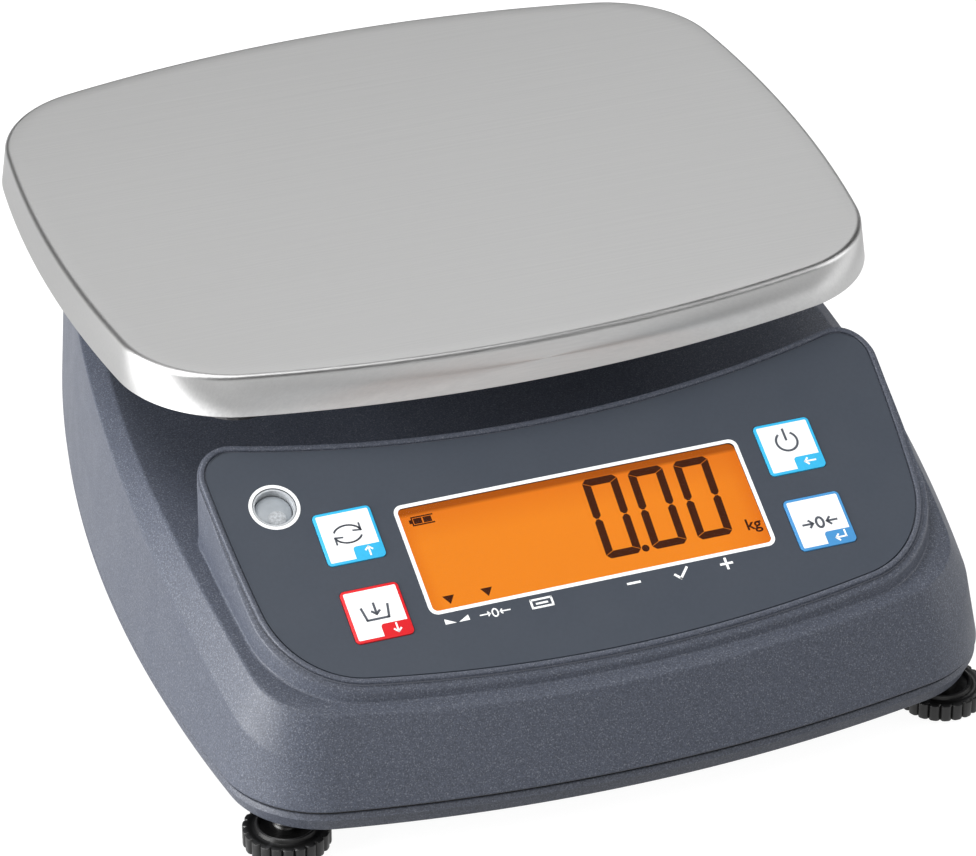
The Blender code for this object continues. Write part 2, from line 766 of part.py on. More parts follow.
def weighing_plate():
    """A pressed sheet tray, open below, its skirt flared a little and its upper edge rounded."""
    steps = (6, 7, 5, 7, 6)
    skirt = PLATE_TOP - PLATE_SKIRT

    def rings(wall):
        found = []
        low = skirt if wall == 0 else skirt - 0.001
        found.append(ring(PLATE_OUTLINE, wall - PLATE_FLARE, low, steps))
        fillet = PLATE_FILLET - wall
        for i in range(4):
            angle = math.pi / 2 * i / 3
            inset = wall + fillet * (1 - math.cos(angle))
            height = PLATE_TOP - wall - fillet * (1 - math.sin(angle))
            found.append(ring(PLATE_OUTLINE, inset, height, steps))
        return found

    plate = loft("weighing_plate", rings(0.0), steel())
    cut(plate, helper(loft("plate_inside", rings(PLATE_SHEET), None, CUTTERS)))
    return plate


# Feet


def foot_wheel(name, place):
    """The knurled wheel and its stud, one moulding turned by hand; its origin is on its axis."""
    builder = bmesh.new()
    scallops = 22
    rows = []
    for height in (0.0010, 0.0062):
        row = []
        for i in range(scallops * 4):
            angle = 2 * math.pi * i / (scallops * 4)
            radius = FOOT_WHEEL_RADIUS - (0.0008 if i % 4 == 0 else 0.0)
            x, y = radius * math.cos(angle), radius * math.sin(angle)
            row.append(builder.verts.new((x, y, height)))
        rows.append(row)
    count = len(rows[0])
    for i in range(count):
        j = (i + 1) % count
        builder.faces.new((rows[0][i], rows[0][j], rows[1][j], rows[1][i]))
    builder.faces.new(rows[0])
    builder.faces.new(rows[1])
    wheel = mesh_object(f"foot_wheel_{name}", builder, black_plastic())
    wheel.location = (place[0], place[1], 0)
    join(wheel, cut_cylinder(f"foot_hub_{name}", place, 0.0085, 0.0050, 0.0074))
    join(wheel, cut_cylinder(f"foot_stud_{name}", place, FOOT_STUD_RADIUS, 0.0060, 0.0205, 20))
    cut(wheel, cut_cylinder(f"foot_seat_{name}", place, 0.0100, 0.0, 0.0025))


def feet():
    for name, place in FEET.items():
        foot_wheel(name, place)
        cylinder(f"foot_pad_{name}", place, 0.0096, 0.0, 0.0022, black_rubber())
        brass = material("insert_brass", (0.75, 0.55, 0.25), 0.35, 1.0)
        insert = cylinder(f"foot_insert_{name}", place, 0.0056, 0.0126, 0.0164, brass, segments=12)
        cut(insert, cut_cylinder(f"insert_bore_{name}", place, 0.00418, 0.010, 0.025, 20))


# Electronics and power


def main_board():
    (x0, y0), (x1, y1) = MAIN_BOARD
    low, high = MAIN_BOARD_Z
    board = box("main_board", (x0, y0, low), (x1, y1, high), board_green())
    parts = (
        ((-0.012, -0.070), (0.004, -0.054), 0.0020),
        ((0.016, -0.086), (0.036, -0.078), 0.0080),
        ((-0.036, -0.050), (-0.020, -0.042), 0.0070),
    )
    for i, (a, b, tall) in enumerate(parts):
        join(board, cut_box(f"component_{i}", (*a, high - 0.0005), (*b, high + tall)))
    low, high = high + FINE_GAP, high + 0.0095
    cylinder("buzzer", (0.030, -0.050), 0.0060, low, high, black_plastic(), segments=20)


def battery():
    x, y = BAY_CENTRE
    wide, deep = BAY_HALF
    grey = material("battery_grey", (0.12, 0.13, 0.14), 0.5)
    u, v = BATTERY_HALF
    low, high = (x - u, y - v, BATTERY_Z[0]), (x + u, y + v, BATTERY_Z[1])
    box("battery_pack", low, high, grey)
    u, v = wide - COVER_GAP, deep - COVER_GAP
    low, high = (x - u, y - v, TRAY_BOTTOM), (x + u, y + v, COVER_TOP)
    cover = box("battery_cover", low, high, housing_grey())
    groove = 0.0012
    for i in range(5):
        at = x - 0.010 + 0.005 * i
        low, high = (at - groove / 2, y - 0.008, 0.010), (at + groove / 2, y + 0.008, 0.0112)
        cut(cover, cut_box(f"finger_groove_{i}", low, high))


def power_jack():
    """The power inlet at the rear: a block inside and a round nose through the wall."""
    u, v = JACK_HALF
    low = (JACK_X - u, JACK_Y + JACK_BODY[0], JACK_Z - v)
    high = (JACK_X + u, JACK_Y + JACK_BODY[1], JACK_Z + v)
    body = box("power_jack", low, high, black_plastic())
    join(body, rearwards(cut_cylinder("jack_nose", (0, 0), 0.0054, 0.0, JACK_NOSE)))
    cut(body, rearwards(cut_cylinder("jack_bore", (0, 0), 0.0030, 0.0, JACK_BORE, 16)))


def cable(name, points, radius, coat):
    data = bpy.data.curves.new(name, "CURVE")
    data.dimensions = "3D"
    data.bevel_depth = radius
    data.bevel_resolution = 1
    data.use_fill_caps = True
    spline = data.splines.new("POLY")
    spline.points.add(len(points) - 1)
    for point, at in zip(spline.points, points):
        point.co = (*at, 1)
    return link(bpy.data.objects.new(name, data), coat)


def cables():
    black = black_rubber()
    cell = [(-0.020, -0.0170, 0.030), (-0.030, -0.0220, 0.030), (-0.036, -0.0260, 0.036)]
    cell += [(-0.034, -0.0360, 0.038), (-0.028, -0.0440, 0.036), (-0.028, -0.0460, 0.0297)]
    cable("load_cell_cable", cell, 0.0015, black)
    lead = [(0.0450, 0.0280, 0.050), (0.0700, 0.0200, 0.052), (0.0760, -0.0200, 0.046)]
    lead += [(0.0600, -0.0600, 0.040), (0.0262, -0.0800, 0.038), (0.0260, -0.0820, 0.0306)]
    cable("battery_lead", lead, 0.0015, material("lead_red", (0.55, 0.03, 0.03), 0.5))


def display_ribbon():
    """The flat cable from the display board down to the main board, one loop of sheet."""
    start = panel_point(0, -0.0200, BOARD_BOTTOM - 0.0022)
    end = Vector((0, -0.0840, MAIN_BOARD_Z[1] + 0.0022))
    middle = [start + Vector((0, 0.004, -0.006)), end + Vector((0, -0.020, 0.003))]
    path = [start, *middle, end]
    builder = bmesh.new()
    half, thick = 0.010, 0.0005
    rows = []
    for i, at in enumerate(path):
        before, after = path[max(i - 1, 0)], path[min(i + 1, len(path) - 1)]
        along = (after - before).normalized()
        up = Vector((0, -along.z, along.y)) * thick
        corners = [(-half, up), (half, up), (half, -up), (-half, -up)]
        rows.append([builder.verts.new((x, at.y + o.y, at.z + o.z)) for x, o in corners])
    for lower, upper in zip(rows, rows[1:]):
        for i in range(4):
            j = (i + 1) % 4
            builder.faces.new((lower[i], lower[j], upper[j], upper[i]))
    builder.faces.new(rows[0])
    builder.faces.new(rows[-1])
    white = material("ribbon_white", (0.7, 0.7, 0.68), 0.5)
    mesh_object("display_ribbon", builder, white)


def hang_from_origin():
    """Hangs every piece and cutter from one empty, which places the whole scale in its frame."""
    origin = bpy.data.objects.new("scale_origin", None)
    PARTS.objects.link(origin)
    origin.location = (0, FRAME_Y, 0)
    for obj in (*PARTS.objects, *CUTTERS.objects):
        if obj is not origin:
            obj.parent = origin


def build():
    global PARTS, CUTTERS
    clear_scene()
    PARTS = new_collection("bench_scale")
    CUTTERS = new_collection("cutters")
    upper_housing()
    base_tray()
    housing_gasket()
    housing_screws()
    dust_seal()
    keypad_foil()
    display_window()
    display_stack()
    for name, place in KEYS.items():
        key(name, place)
        tact_switch(name, place)
    level_vial()
    load_cell()
    cell_mounting()
    load_post()
    carrier_spider()
    carrier_bolts()
    plate_pads()
    weighing_plate()
    feet()
    main_board()
    battery()
    power_jack()
    cables()
    display_ribbon()
    hang_from_origin()


build()
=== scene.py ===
"""The looks of the bench scale: fine shells, plate, panel, keys, display, feet and every material.

Metres, in the frame of the CAD model: +X to the user's right, +Y away from the user, +Z up.
"""

import math

import bmesh
import bpy
from mathutils import Matrix, Vector


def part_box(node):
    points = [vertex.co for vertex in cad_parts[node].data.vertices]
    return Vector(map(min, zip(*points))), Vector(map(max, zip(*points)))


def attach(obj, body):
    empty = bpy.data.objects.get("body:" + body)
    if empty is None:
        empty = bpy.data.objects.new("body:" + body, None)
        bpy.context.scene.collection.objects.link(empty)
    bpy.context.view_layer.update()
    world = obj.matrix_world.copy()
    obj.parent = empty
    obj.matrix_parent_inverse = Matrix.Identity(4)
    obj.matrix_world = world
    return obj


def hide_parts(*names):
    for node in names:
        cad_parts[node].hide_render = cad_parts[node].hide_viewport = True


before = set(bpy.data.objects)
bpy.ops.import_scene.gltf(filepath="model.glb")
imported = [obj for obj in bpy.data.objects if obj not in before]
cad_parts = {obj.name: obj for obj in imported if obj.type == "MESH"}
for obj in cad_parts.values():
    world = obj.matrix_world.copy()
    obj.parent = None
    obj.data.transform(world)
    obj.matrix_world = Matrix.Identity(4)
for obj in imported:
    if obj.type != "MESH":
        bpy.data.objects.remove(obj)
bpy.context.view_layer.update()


# The shapes here are drawn about the weighing plate's centre and moved into the frame at the end

PLATE_Y = sum(corner.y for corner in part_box("weighing_plate")) / 2
TO_FRAME = Vector((0.0, PLATE_Y, 0.0))


def box_of(node):
    """A node's lowest and highest corners, measured from the plate's centre."""
    return tuple(Vector(corner) - TO_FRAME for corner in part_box(node))


def top_of(node):
    return box_of(node)[1].z


def bottom_of(node):
    return box_of(node)[0].z


def middle_of(node):
    low, high = box_of(node)
    return (low + high) / 2


# Heights, read from the frame

GASKET_GAP = 0.0001
PARTING = bottom_of("housing_gasket") + 0.0009
TRAY_TOP = bottom_of("housing_gasket") - GASKET_GAP
TRAY_BOTTOM = bottom_of("base_tray")
TRAY_LIP = 0.0021
TRAY_KNEE = TRAY_TOP - TRAY_LIP
PLATE_TOP = top_of("weighing_plate")
PLATE_LOW = bottom_of("weighing_plate")

# The tilted panel: its slope, and the point where its plane crosses the middle of the window

PANEL_SLOPE = 0.4967
PANEL_ANGLE = math.atan(PANEL_SLOPE)
PANEL_ORIGIN = Vector((0.0, -0.1266, 0.0644))
PANEL_TURN = Matrix.Rotation(PANEL_ANGLE, 4, "X")
PANEL_FRAME = Matrix.Translation(PANEL_ORIGIN) @ PANEL_TURN
FOIL_TOP = -0.00006
PRINT_THICK = 0.00004
PRINT_TOP = FOIL_TOP + PRINT_THICK

WINDOW = (0.1012, 0.0346)
VIEW = (0.096, 0.03)
WINDOW_CORNER = 0.0022
LEVEL = (-0.083, 0.0251)
LEVEL_HOLE = 0.0061
KEY_SIDE = 0.0168
KEY_CORNER = 0.0016
KEYS = {
    "mode": (-0.0656, 0.0116),
    "tare": (-0.0656, -0.0136),
    "power": (0.0656, 0.0116),
    "zero": (0.0656, -0.0136),
}
FEET = ("front_left", "front_right", "rear_left", "rear_right")

# Outlines in plan: front, side and rear arcs as (centre x, centre y, radius), a negative radius
# being a hollow arc, and the radii of the front and rear corners

HOUSING = ((0.0, 0.2495, 0.428), (-0.40935, -0.081, 0.525), (0.0, -0.388, 0.5), (0.0305, 0.014))
PLATE = ((0.0, 0.2863, 0.3817), (-0.3067, 0.0, 0.4215), (0.0, -0.2863, 0.3817), (0.035, 0.035))
FOIL = ((0.0, 0.3135, 0.475), (-0.3333, -0.083, 0.4326), (0.0, 0.3294, -0.425), (0.0267, 0.008))
CREASE_INSET = 0.00325
RIDGE_INSET = 0.0087

# How finely the five stretches of half an outline are cut: front, corner, side, corner, rear

HOUSING_STEPS = (44, 26, 72, 26, 40)
PLATE_STEPS = (40, 28, 36, 28, 40)
FOIL_STEPS = (60, 30, 36, 16, 60)

# Two edges along the housing's sides: the plateau's, and the crease between wall and leaning band.
# Each is a front and a rear slope, as (height, slope, y), and the length of the bend between them

PLATEAU = ((0.0538, 0.467, -0.15), (0.0602, 0.123, -0.09), 0.0254)
SHOULDER = ((0.0389, 0.411, -0.15), (0.0567, 0.128, -0.09), 0.0303)

# Thicknesses of the shells, and the holes for the load post and the power lead

SHELL_WALL = 0.0022
BLOCK_WALL = 0.002
PLATE_SHEET = 0.0011
POST_HOLE = 0.02
JACK_HOLE = 0.0057

# The pan's skirt leans out by the flare, and its upper edge is rolled to the radius

PLATE_FLARE = 0.0013
PLATE_ROLL = 0.0018

# The feet: a knurled wheel, and a stud with one turn of thread for each pitch

WHEEL_RADIUS = 0.0123
WHEEL_BOTTOM = 0.001
WHEEL_TOP = 0.0062
SCALLOPS = 22
SCALLOP_DEPTH = 0.0009
THREAD_START = 0.0066
THREAD_PITCH = 0.00125
THREAD_ROOT = 0.00355
THREAD_CREST = 0.004


# Lights: where each stands, its size and its power, all aimed at the scale; the strength of the
# soft light from above; and how bright the floor is to the camera, in reflections and in itself

LAMPS = {
    "left_light": ((-1.5, -0.05, 0.3), (1.2, 0.7), 44.0),
    "rear_light": ((0.3, 1.1, 1.1), (1.6, 1.0), 7.2),
    "top_light": ((-0.55, -0.25, 1.8), (1.0, 1.0), 17.0),
    "front_light": ((-0.3, -1.9, 0.5), (1.4, 0.8), 4.0),
    "right_light": ((1.4, -0.5, 0.5), (0.9, 0.9), 9.0),
}
LIGHTS_AIM = (0.0, -0.05, 0.05)
SKY_SOFT = 0.75
FLOOR_SEEN = 0.94
FLOOR_MIRRORED = 0.76
FLOOR_TONE = 0.15

# The camera: where it stands, how far it is turned about the upright, tipped and rolled, its lens

CAMERA_AT = (-0.48618, -1.34984, 0.92418)
CAMERA_TURN = -0.359384
CAMERA_DIP = 0.562165
CAMERA_ROLL = 0.0017016
CAMERA_LENS = 209.37
CAMERA_SHIFT = (-0.00773, 0.00379)


# ---------------------------------------------------------------- materials


class Nodes:
    """A short way to build a material or a world: values, or nodes' outputs, go in by name."""

    def __init__(self, name, made_in=bpy.data.materials, shader="Principled BSDF"):
        self.made = made_in.new(name)
        self.made.use_nodes = True
        self.tree = self.made.node_tree
        self.shader = self.tree.nodes[shader]
        self.place = self.add("ShaderNodeTexCoord").outputs["Object"]

    def put(self, socket, value):
        if isinstance(value, bpy.types.NodeSocket):
            self.tree.links.new(value, socket)
        elif hasattr(socket, "default_value"):
            if socket.type == "RGBA" and len(value) == 3:
                value = (*value, 1.0)
            socket.default_value = value

    def add(self, kind, settings=None, **inputs):
        node = self.tree.nodes.new(kind)
        for key, value in (settings or {}).items():
            setattr(node, key, value)
        for key, value in inputs.items():
            self.put(node.inputs[key.replace("_", " ")], value)
        return node

    def set(self, **inputs):
        for key, value in inputs.items():
            self.put(self.shader.inputs[key.replace("_", " ")], value)
        return self

    def scaled(self, x, y, z):
        node = self.add("ShaderNodeMapping", Scale=(x, y, z), Vector=self.place)
        return node.outputs["Vector"]

    def noise(self, scale, detail=4.0, rough=0.5, vector=None):
        inputs = {"Scale": scale, "Detail": detail, "Roughness": rough}
        node = self.add("ShaderNodeTexNoise", Vector=vector or self.place, **inputs)
        return node.outputs["Fac"]

    def cells(self, scale, feature="F1"):
        settings = {"feature": feature}
        node = self.add("ShaderNodeTexVoronoi", settings, Vector=self.place, Scale=scale)
        return node.outputs["Distance"]

    def ramp(self, factor, low, high, start, end):
        """Maps a factor from one range to another, held at both ends."""
        node = self.add("ShaderNodeMapRange", {"clamp": True}, Value=factor)
        for key, value in (("From Min", low), ("From Max", high), ("To Min", start), ("To Max", end)):
            node.inputs[key].default_value = value
        return node.outputs["Result"]

    def mix(self, factor, first, second, blend="MIX"):
        node = self.add("ShaderNodeMix", {"data_type": "RGBA", "blend_type": blend})
        self.put(node.inputs[0], factor)
        self.put(node.inputs[6], first)
        self.put(node.inputs[7], second)
        return node.outputs[2]

    def sum(self, first, second, operation="ADD"):
        node = self.add("ShaderNodeMath", {"operation": operation})
        self.put(node.inputs[0], first)
        self.put(node.inputs[1], second)
        return node.outputs[0]

    def drift(self, scale, detail, start, end, rough=0.5):
        """A value that drifts over the surface between two others."""
        return self.ramp(self.noise(scale, detail, rough), 0.3, 0.7, start, end)

    def bump(self, height, distance, strength=1.0):
        node = self.add("ShaderNodeBump", Height=height, Distance=distance, Strength=strength)
        return node.outputs["Normal"]

    def edge_highlight_mask(self, low=0.52, high=0.62):
        """One on convex edges and nought elsewhere, for a painted highlight along them."""
        node = self.add("ShaderNodeNewGeometry")
        return self.ramp(node.outputs["Pointiness"], low, high, 0.0, 1.0)


def dimmed(colour, share):
    return tuple(c * share for c in colour)


def grained_plastic(name, colour, light, grain=1900.0):
    """Moulded plastic with a fine spark-eroded grain, tiny pale specks, faint handling marks and a
    painted highlight along its convex edges.
    """
    n = Nodes(name)
    fine = n.noise(grain, 2.0, 0.6)
    specks = n.ramp(n.noise(grain * 1.3, 1.0, 0.5), 0.56, 0.72, 0.0, 0.75)
    pits = n.ramp(fine, 0.34, 0.66, 0.72, 1.26)
    broad = n.ramp(n.noise(14.0, 3.0), 0.35, 0.65, 0.0, 0.25)
    base = n.mix(broad, colour, dimmed(colour, 0.93))
    base = n.mix(1.0, base, pits, "MULTIPLY")
    base = n.mix(specks, base, light)
    # Painted highlight: convex edges are mixed towards the pale colour
    base = n.mix(n.sum(n.edge_highlight_mask(), 0.5, "MULTIPLY"), base, light)
    n.set(Base_Color=base, Roughness=n.drift(60.0, 5.0, 0.46, 0.55, 0.6))
    n.set(Specular_IOR_Level=0.42, Normal=n.bump(fine, 0.00006, 0.8))
    return n.made


def printed_film(name, colour, rough=0.38):
    """Screen-printed polyester film: a very fine orange-peel surface and faint print density."""
    n = Nodes(name)
    base = n.mix(n.drift(900.0, 2.0, 0.0, 1.0), dimmed(colour, 0.97), dimmed(colour, 1.03))
    n.set(Base_Color=base, Roughness=n.drift(70.0, 4.0, rough - 0.03, rough + 0.04))
    n.set(Normal=n.bump(n.noise(1500.0, 3.0, 0.55), 0.00002, 0.5), Specular_IOR_Level=0.4)
    return n.made


def brushed_steel(name, tone):
    """Stainless sheet brushed along X: long fine scratches that vary in depth, tone and shine."""
    n = Nodes(name)
    long_lines = n.noise(1.0, 6.0, 0.7, n.scaled(9.0, 2600.0, 700.0))
    short_lines = n.noise(1.0, 3.0, 0.6, n.scaled(60.0, 5200.0, 1400.0))
    cloud = n.noise(5.0, 3.0, 0.5)
    lines = n.sum(n.sum(long_lines, 0.65, "MULTIPLY"), n.sum(short_lines, 0.35, "MULTIPLY"))
    dark, pale = (tone * 0.93,) * 3, (tone * 1.06, tone * 1.06, tone * 1.055)
    base = n.mix(n.ramp(lines, 0.38, 0.62, 0.0, 1.0), dark, pale)
    base = n.mix(n.ramp(cloud, 0.35, 0.65, 0.0, 0.1), base, (tone * 0.85,) * 3)
    n.set(Base_Color=base, Metallic=1.0)
    n.set(Roughness=n.ramp(lines, 0.3, 0.7, 0.36, 0.5))
    n.set(Anisotropic=0.7, Normal=n.bump(lines, 0.00003, 0.35))
    tangent = n.add("ShaderNodeTangent", {"direction_type": "RADIAL", "axis": "Y"})
    n.set(Tangent=tangent.outputs["Tangent"])
    return n.made


def cast_metal(name, colour, rough):
    n = Nodes(name)
    pits = n.cells(1400.0)
    base = n.mix(n.drift(40.0, 5.0, 0.0, 1.0), colour, dimmed(colour, 0.85))
    n.set(Base_Color=base, Metallic=1.0)
    n.set(Roughness=n.drift(300.0, 4.0, rough - 0.08, rough + 0.12))
    n.set(Normal=n.bump(n.sum(pits, n.noise(500.0, 4.0)), 0.00006, 0.5))
    return n.made


def turned_metal(name, colour, rough=0.28):
    """Plated or turned metal with fine lathe rings and a few darker stains."""
    n = Nodes(name)
    rings = n.noise(1.0, 3.0, 0.6, n.scaled(120.0, 120.0, 5200.0))
    stain = n.ramp(n.noise(90.0, 4.0), 0.45, 0.75, 0.0, 0.4)
    n.set(Base_Color=n.mix(stain, colour, dimmed(colour, 0.7)), Metallic=1.0)
    n.set(Roughness=n.ramp(rings, 0.3, 0.7, rough - 0.06, rough + 0.1))
    n.set(Normal=n.bump(rings, 0.00002, 0.4))
    return n.made


def black_rubber(name, tone):
    n = Nodes(name)
    dust = n.ramp(n.noise(220.0, 6.0, 0.65), 0.5, 0.8, 0.0, 0.35)
    n.set(Base_Color=n.mix(dust, (tone,) * 3, (tone * 3.5,) * 3), Specular_IOR_Level=0.3)
    n.set(Roughness=n.drift(50.0, 3.0, 0.68, 0.86))
    n.set(Normal=n.bump(n.noise(1800.0, 3.0), 0.00005, 0.6))
    return n.made


def black_plastic(name, tone, rough):
    n = Nodes(name)
    # Painted highlight: convex edges, such as the knurled wheels' ribs, are made paler
    edge = n.sum(n.edge_highlight_mask(0.51, 0.6), 0.5, "MULTIPLY")
    n.set(Base_Color=n.mix(edge, (tone,) * 3, (tone * 6, tone * 6, tone * 6.4)))
    n.set(Roughness=n.drift(130.0, 4.0, rough - 0.06, rough + 0.08))
    n.set(Normal=n.bump(n.noise(2200.0, 2.0), 0.00003, 0.5), Specular_IOR_Level=0.5)
    return n.made


def clear_plastic(name, tint, rough):
    """A thin clear sheet: mostly see-through, with a faint sheen that varies over it."""
    n = Nodes(name)
    n.set(Base_Color=n.mix(n.noise(40.0, 2.0), tint, dimmed(tint, 0.9)))
    n.set(Roughness=n.ramp(n.noise(80.0, 4.0), 0.4, 0.8, rough, rough + 0.05))
    n.set(Alpha=n.drift(30.0, 3.0, 0.025, 0.035))
    return n.made


def lit_orange(name, low, high):
    """The backlit display: darker towards its rim and right end, painted shadow along its top, finely
    grained.
    """
    n = Nodes(name)
    split = n.add("ShaderNodeSeparateXYZ", Vector=n.place)
    across = split.outputs["X"]
    rim = n.ramp(n.sum(across, 0.0, "ABSOLUTE"), 0.046, 0.0505, 0.0, 0.6)
    right = n.ramp(across, 0.034, 0.0505, 0.0, 0.35)
    grain = n.drift(1200.0, 2.0, 0.0, 0.12)
    tone = n.mix(rim, high, low)
    tone = n.mix(right, tone, low)
    tone = n.mix(grain, tone, low)
    # Painted shadow of the window's upper edge: a soft darkening towards the top, then a dark strip along
    # it
    tone = n.mix(n.ramp(split.outputs["Z"], 0.0655, 0.0697, 0.0, 0.55), tone, low)
    painted_shadow = n.ramp(split.outputs["Z"], 0.0696, 0.0701, 0.0, 1.0)
    tone = n.mix(painted_shadow, tone, dimmed(low, 0.55))
    n.set(Base_Color=(0.01, 0.004, 0.001), Specular_IOR_Level=0.0)
    n.set(Roughness=0.5, Emission_Color=tone, Emission_Strength=1.0)
    return n.made


def segment_ink(name, colour, shine):
    """A smooth, even surface: the display's dark segments, or the liquid in the level."""
    n = Nodes(name)
    n.set(Base_Color=n.mix(n.noise(700.0, 2.0), colour, dimmed(colour, 0.8)))
    n.set(Roughness=n.drift(200.0, 2.0, 0.3, 0.4), Specular_IOR_Level=shine)
    return n.made


def circuit_board(name):
    """Green solder mask over a mesh of copper tracks, with tinned pads."""
    n = Nodes(name)
    tracks = n.ramp(n.cells(260.0, "DISTANCE_TO_EDGE"), 0.03, 0.06, 1.0, 0.0)
    pads = n.ramp(n.cells(420.0), 0.1, 0.13, 1.0, 0.0)
    green = n.mix(tracks, (0.012, 0.09, 0.03), (0.035, 0.2, 0.06))
    n.set(Base_Color=n.mix(pads, green, (0.55, 0.55, 0.52)), Metallic=n.sum(pads, 0.9, "MULTIPLY"))
    n.set(Roughness=n.ramp(pads, 0.0, 1.0, 0.32, 0.45), Normal=n.bump(tracks, 0.00005, 0.6))
    return n.made


def milled_aluminium(name):
    n = Nodes(name)
    wave = n.add("ShaderNodeTexWave", {"bands_direction": "DIAGONAL"}, Vector=n.place, Scale=420.0)
    marks = n.ramp(wave.outputs["Fac"], 0.0, 1.0, 0.32, 0.42)
    cloud = n.mix(n.noise(70.0, 3.0), (0.62, 0.63, 0.64), (0.72, 0.73, 0.74))
    n.set(Base_Color=cloud, Metallic=1.0, Roughness=marks)
    n.set(Normal=n.bump(n.sum(wave.outputs["Fac"], n.noise(900.0)), 0.00002, 0.3))
    return n.made


def wrapped_film(name, colour):
    """Shrink film round a pack: soft wrinkles under a glossy skin."""
    n = Nodes(name)
    creases = n.noise(1.0, 4.0, 0.6, n.scaled(90.0, 30.0, 30.0))
    n.set(Base_Color=n.mix(n.noise(20.0), colour, dimmed(colour, 1.2)))
    n.set(Roughness=n.ramp(creases, 0.3, 0.7, 0.2, 0.34), Normal=n.bump(creases, 0.0004, 0.5))
    return n.made


def pale_floor(name):
    """White paper: bright to the camera and in reflections, but it throws little light back up."""
    n = Nodes(name)
    path = n.add("ShaderNodeLightPath")
    seen = n.sum(path.outputs["Is Camera Ray"], FLOOR_SEEN, "MULTIPLY")
    mirrored = n.sum(path.outputs["Is Glossy Ray"], FLOOR_MIRRORED, "MULTIPLY")
    n.set(Base_Color=n.mix(n.noise(3.0, 3.0), (FLOOR_TONE,) * 3, (FLOOR_TONE * 1.05,) * 3))
    n.set(Roughness=0.8, Specular_IOR_Level=0.0, Emission_Color=(1.0, 1.0, 1.0))
    n.set(Emission_Strength=n.sum(seen, mirrored))
    return n.made


GREY = grained_plastic("housing_grey", (0.057, 0.065, 0.088), (0.16, 0.17, 0.2))
GREY_DARK = grained_plastic("tray_grey", (0.064, 0.071, 0.092), (0.15, 0.16, 0.19))
FILM = printed_film("foil_grey", (0.049, 0.058, 0.075))
STEEL = brushed_steel("brushed_steel", 0.52)
# Cast aluminium for the load post and the spider, its colour darkened as painted shade for the dim space
# under the plate
SHADE_DARKENED_CAST = cast_metal("cast_aluminium", (0.13, 0.13, 0.135), 0.55)
ZINC = turned_metal("zinc_plated", (0.6, 0.6, 0.57))
BRASS = turned_metal("insert_brass", (0.72, 0.52, 0.22), 0.32)
RUBBER = black_rubber("black_rubber", 0.012)
BLACK = black_plastic("black_plastic", 0.005, 0.36)
CLEAR = clear_plastic("window_clear", (0.05, 0.05, 0.05), 0.05)
WHITE_PRINT = printed_film("white_print", (0.86, 0.87, 0.87), 0.34)
CYAN_PRINT = printed_film("cyan_print", (0.03, 0.41, 0.7), 0.34)
BLUE_PRINT = printed_film("blue_print", (0.055, 0.25, 0.53), 0.34)
RED_PRINT = printed_film("red_print", (0.62, 0.01, 0.016), 0.34)
GREY_PRINT = printed_film("grey_print", (0.075, 0.082, 0.1), 0.34)
ORANGE = lit_orange("display_orange", (0.8, 0.17, 0.012), (0.97, 0.275, 0.02))
INK = segment_ink("segment_ink", (0.055, 0.012, 0.003), 0.1)
LIQUID = segment_ink("vial_liquid", (0.38, 0.41, 0.44), 0.5)
PALE_PLASTIC = grained_plastic("pale_plastic", (0.42, 0.44, 0.46), (0.5, 0.52, 0.54), 1500.0)
WHITE_PLASTIC = grained_plastic("white_plastic", (0.72, 0.72, 0.7), (0.8, 0.8, 0.78), 1500.0)
BOARD = circuit_board("board_green")
CELL = milled_aluminium("cell_aluminium")


# ---------------------------------------------------------------- mesh helpers


def add_object(name, data):
    obj = bpy.data.objects.new(name, data)
    bpy.context.scene.collection.objects.link(obj)
    return obj


def to_object(name, builder):
    """Moves a bmesh into the frame and makes an object of it."""
    bmesh.ops.recalc_face_normals(builder, faces=builder.faces)
    bmesh.ops.translate(builder, vec=TO_FRAME, verts=builder.verts)
    data = bpy.data.meshes.new(name)
    builder.to_mesh(data)
    builder.free()
    return add_object(name, data)


def settle(obj, body, node=None):
    """Puts a piece on a body, and hides the CAD node that it stands for, if there is one."""
    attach(obj, body)
    if node:
        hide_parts(node)


def finish_mesh(name, builder, coat, body=None, smooth=35.0, node=None):
    """Turns a bmesh into a piece, shaded smooth except over edges sharper than smooth degrees."""
    bmesh.ops.remove_doubles(builder, verts=builder.verts, dist=1e-7)
    obj = to_object(name, builder)
    obj.data.materials.append(coat)
    if smooth:
        obj.data.polygons.foreach_set("use_smooth", [True] * len(obj.data.polygons))
        obj.data.set_sharp_from_angle(angle=math.radians(smooth))
    if body:
        settle(obj, body, node)
    return obj


def place_on_panel(builder, u=0.0, v=0.0, w=0.0):
    """Moves mesh made in panel units (across, up the slope, out) to its place."""
    move = PANEL_FRAME @ Matrix.Translation((u, v, w))
    bmesh.ops.transform(builder, matrix=move, verts=builder.verts)


def corner_centre(first, second, radius, side):
    """The centre of the fillet between two arcs, on the side (+1 rear, -1 front) asked for."""
    a, b = Vector(first[:2]), Vector(second[:2])
    ra, rb = abs(first[2] - radius), abs(second[2] - radius)
    gap = (b - a).length
    along = (ra * ra - rb * rb + gap * gap) / (2 * gap)
    away = math.sqrt(ra * ra - along * along)
    direction = (b - a).normalized()
    normal = Vector((-direction.y, direction.x))
    found = [a + direction * along + normal * s * away for s in (-1, 1)]
    return max((p for p in found if p.x > 0), key=lambda p: side * p.y)


def arc_stations(centre, radius, start, end, steps):
    """(point, inward normal) along an arc from start up to, but not including, end."""
    centre = Vector(centre)
    a, b = start - centre, end - centre
    turn = math.atan2(a.x * b.y - a.y * b.x, a.dot(b))
    found = []
    for i in range(steps):
        out = Matrix.Rotation(turn * i / steps, 2) @ a
        found.append((centre + out, -out.normalized() * math.copysign(1, radius)))
    return found


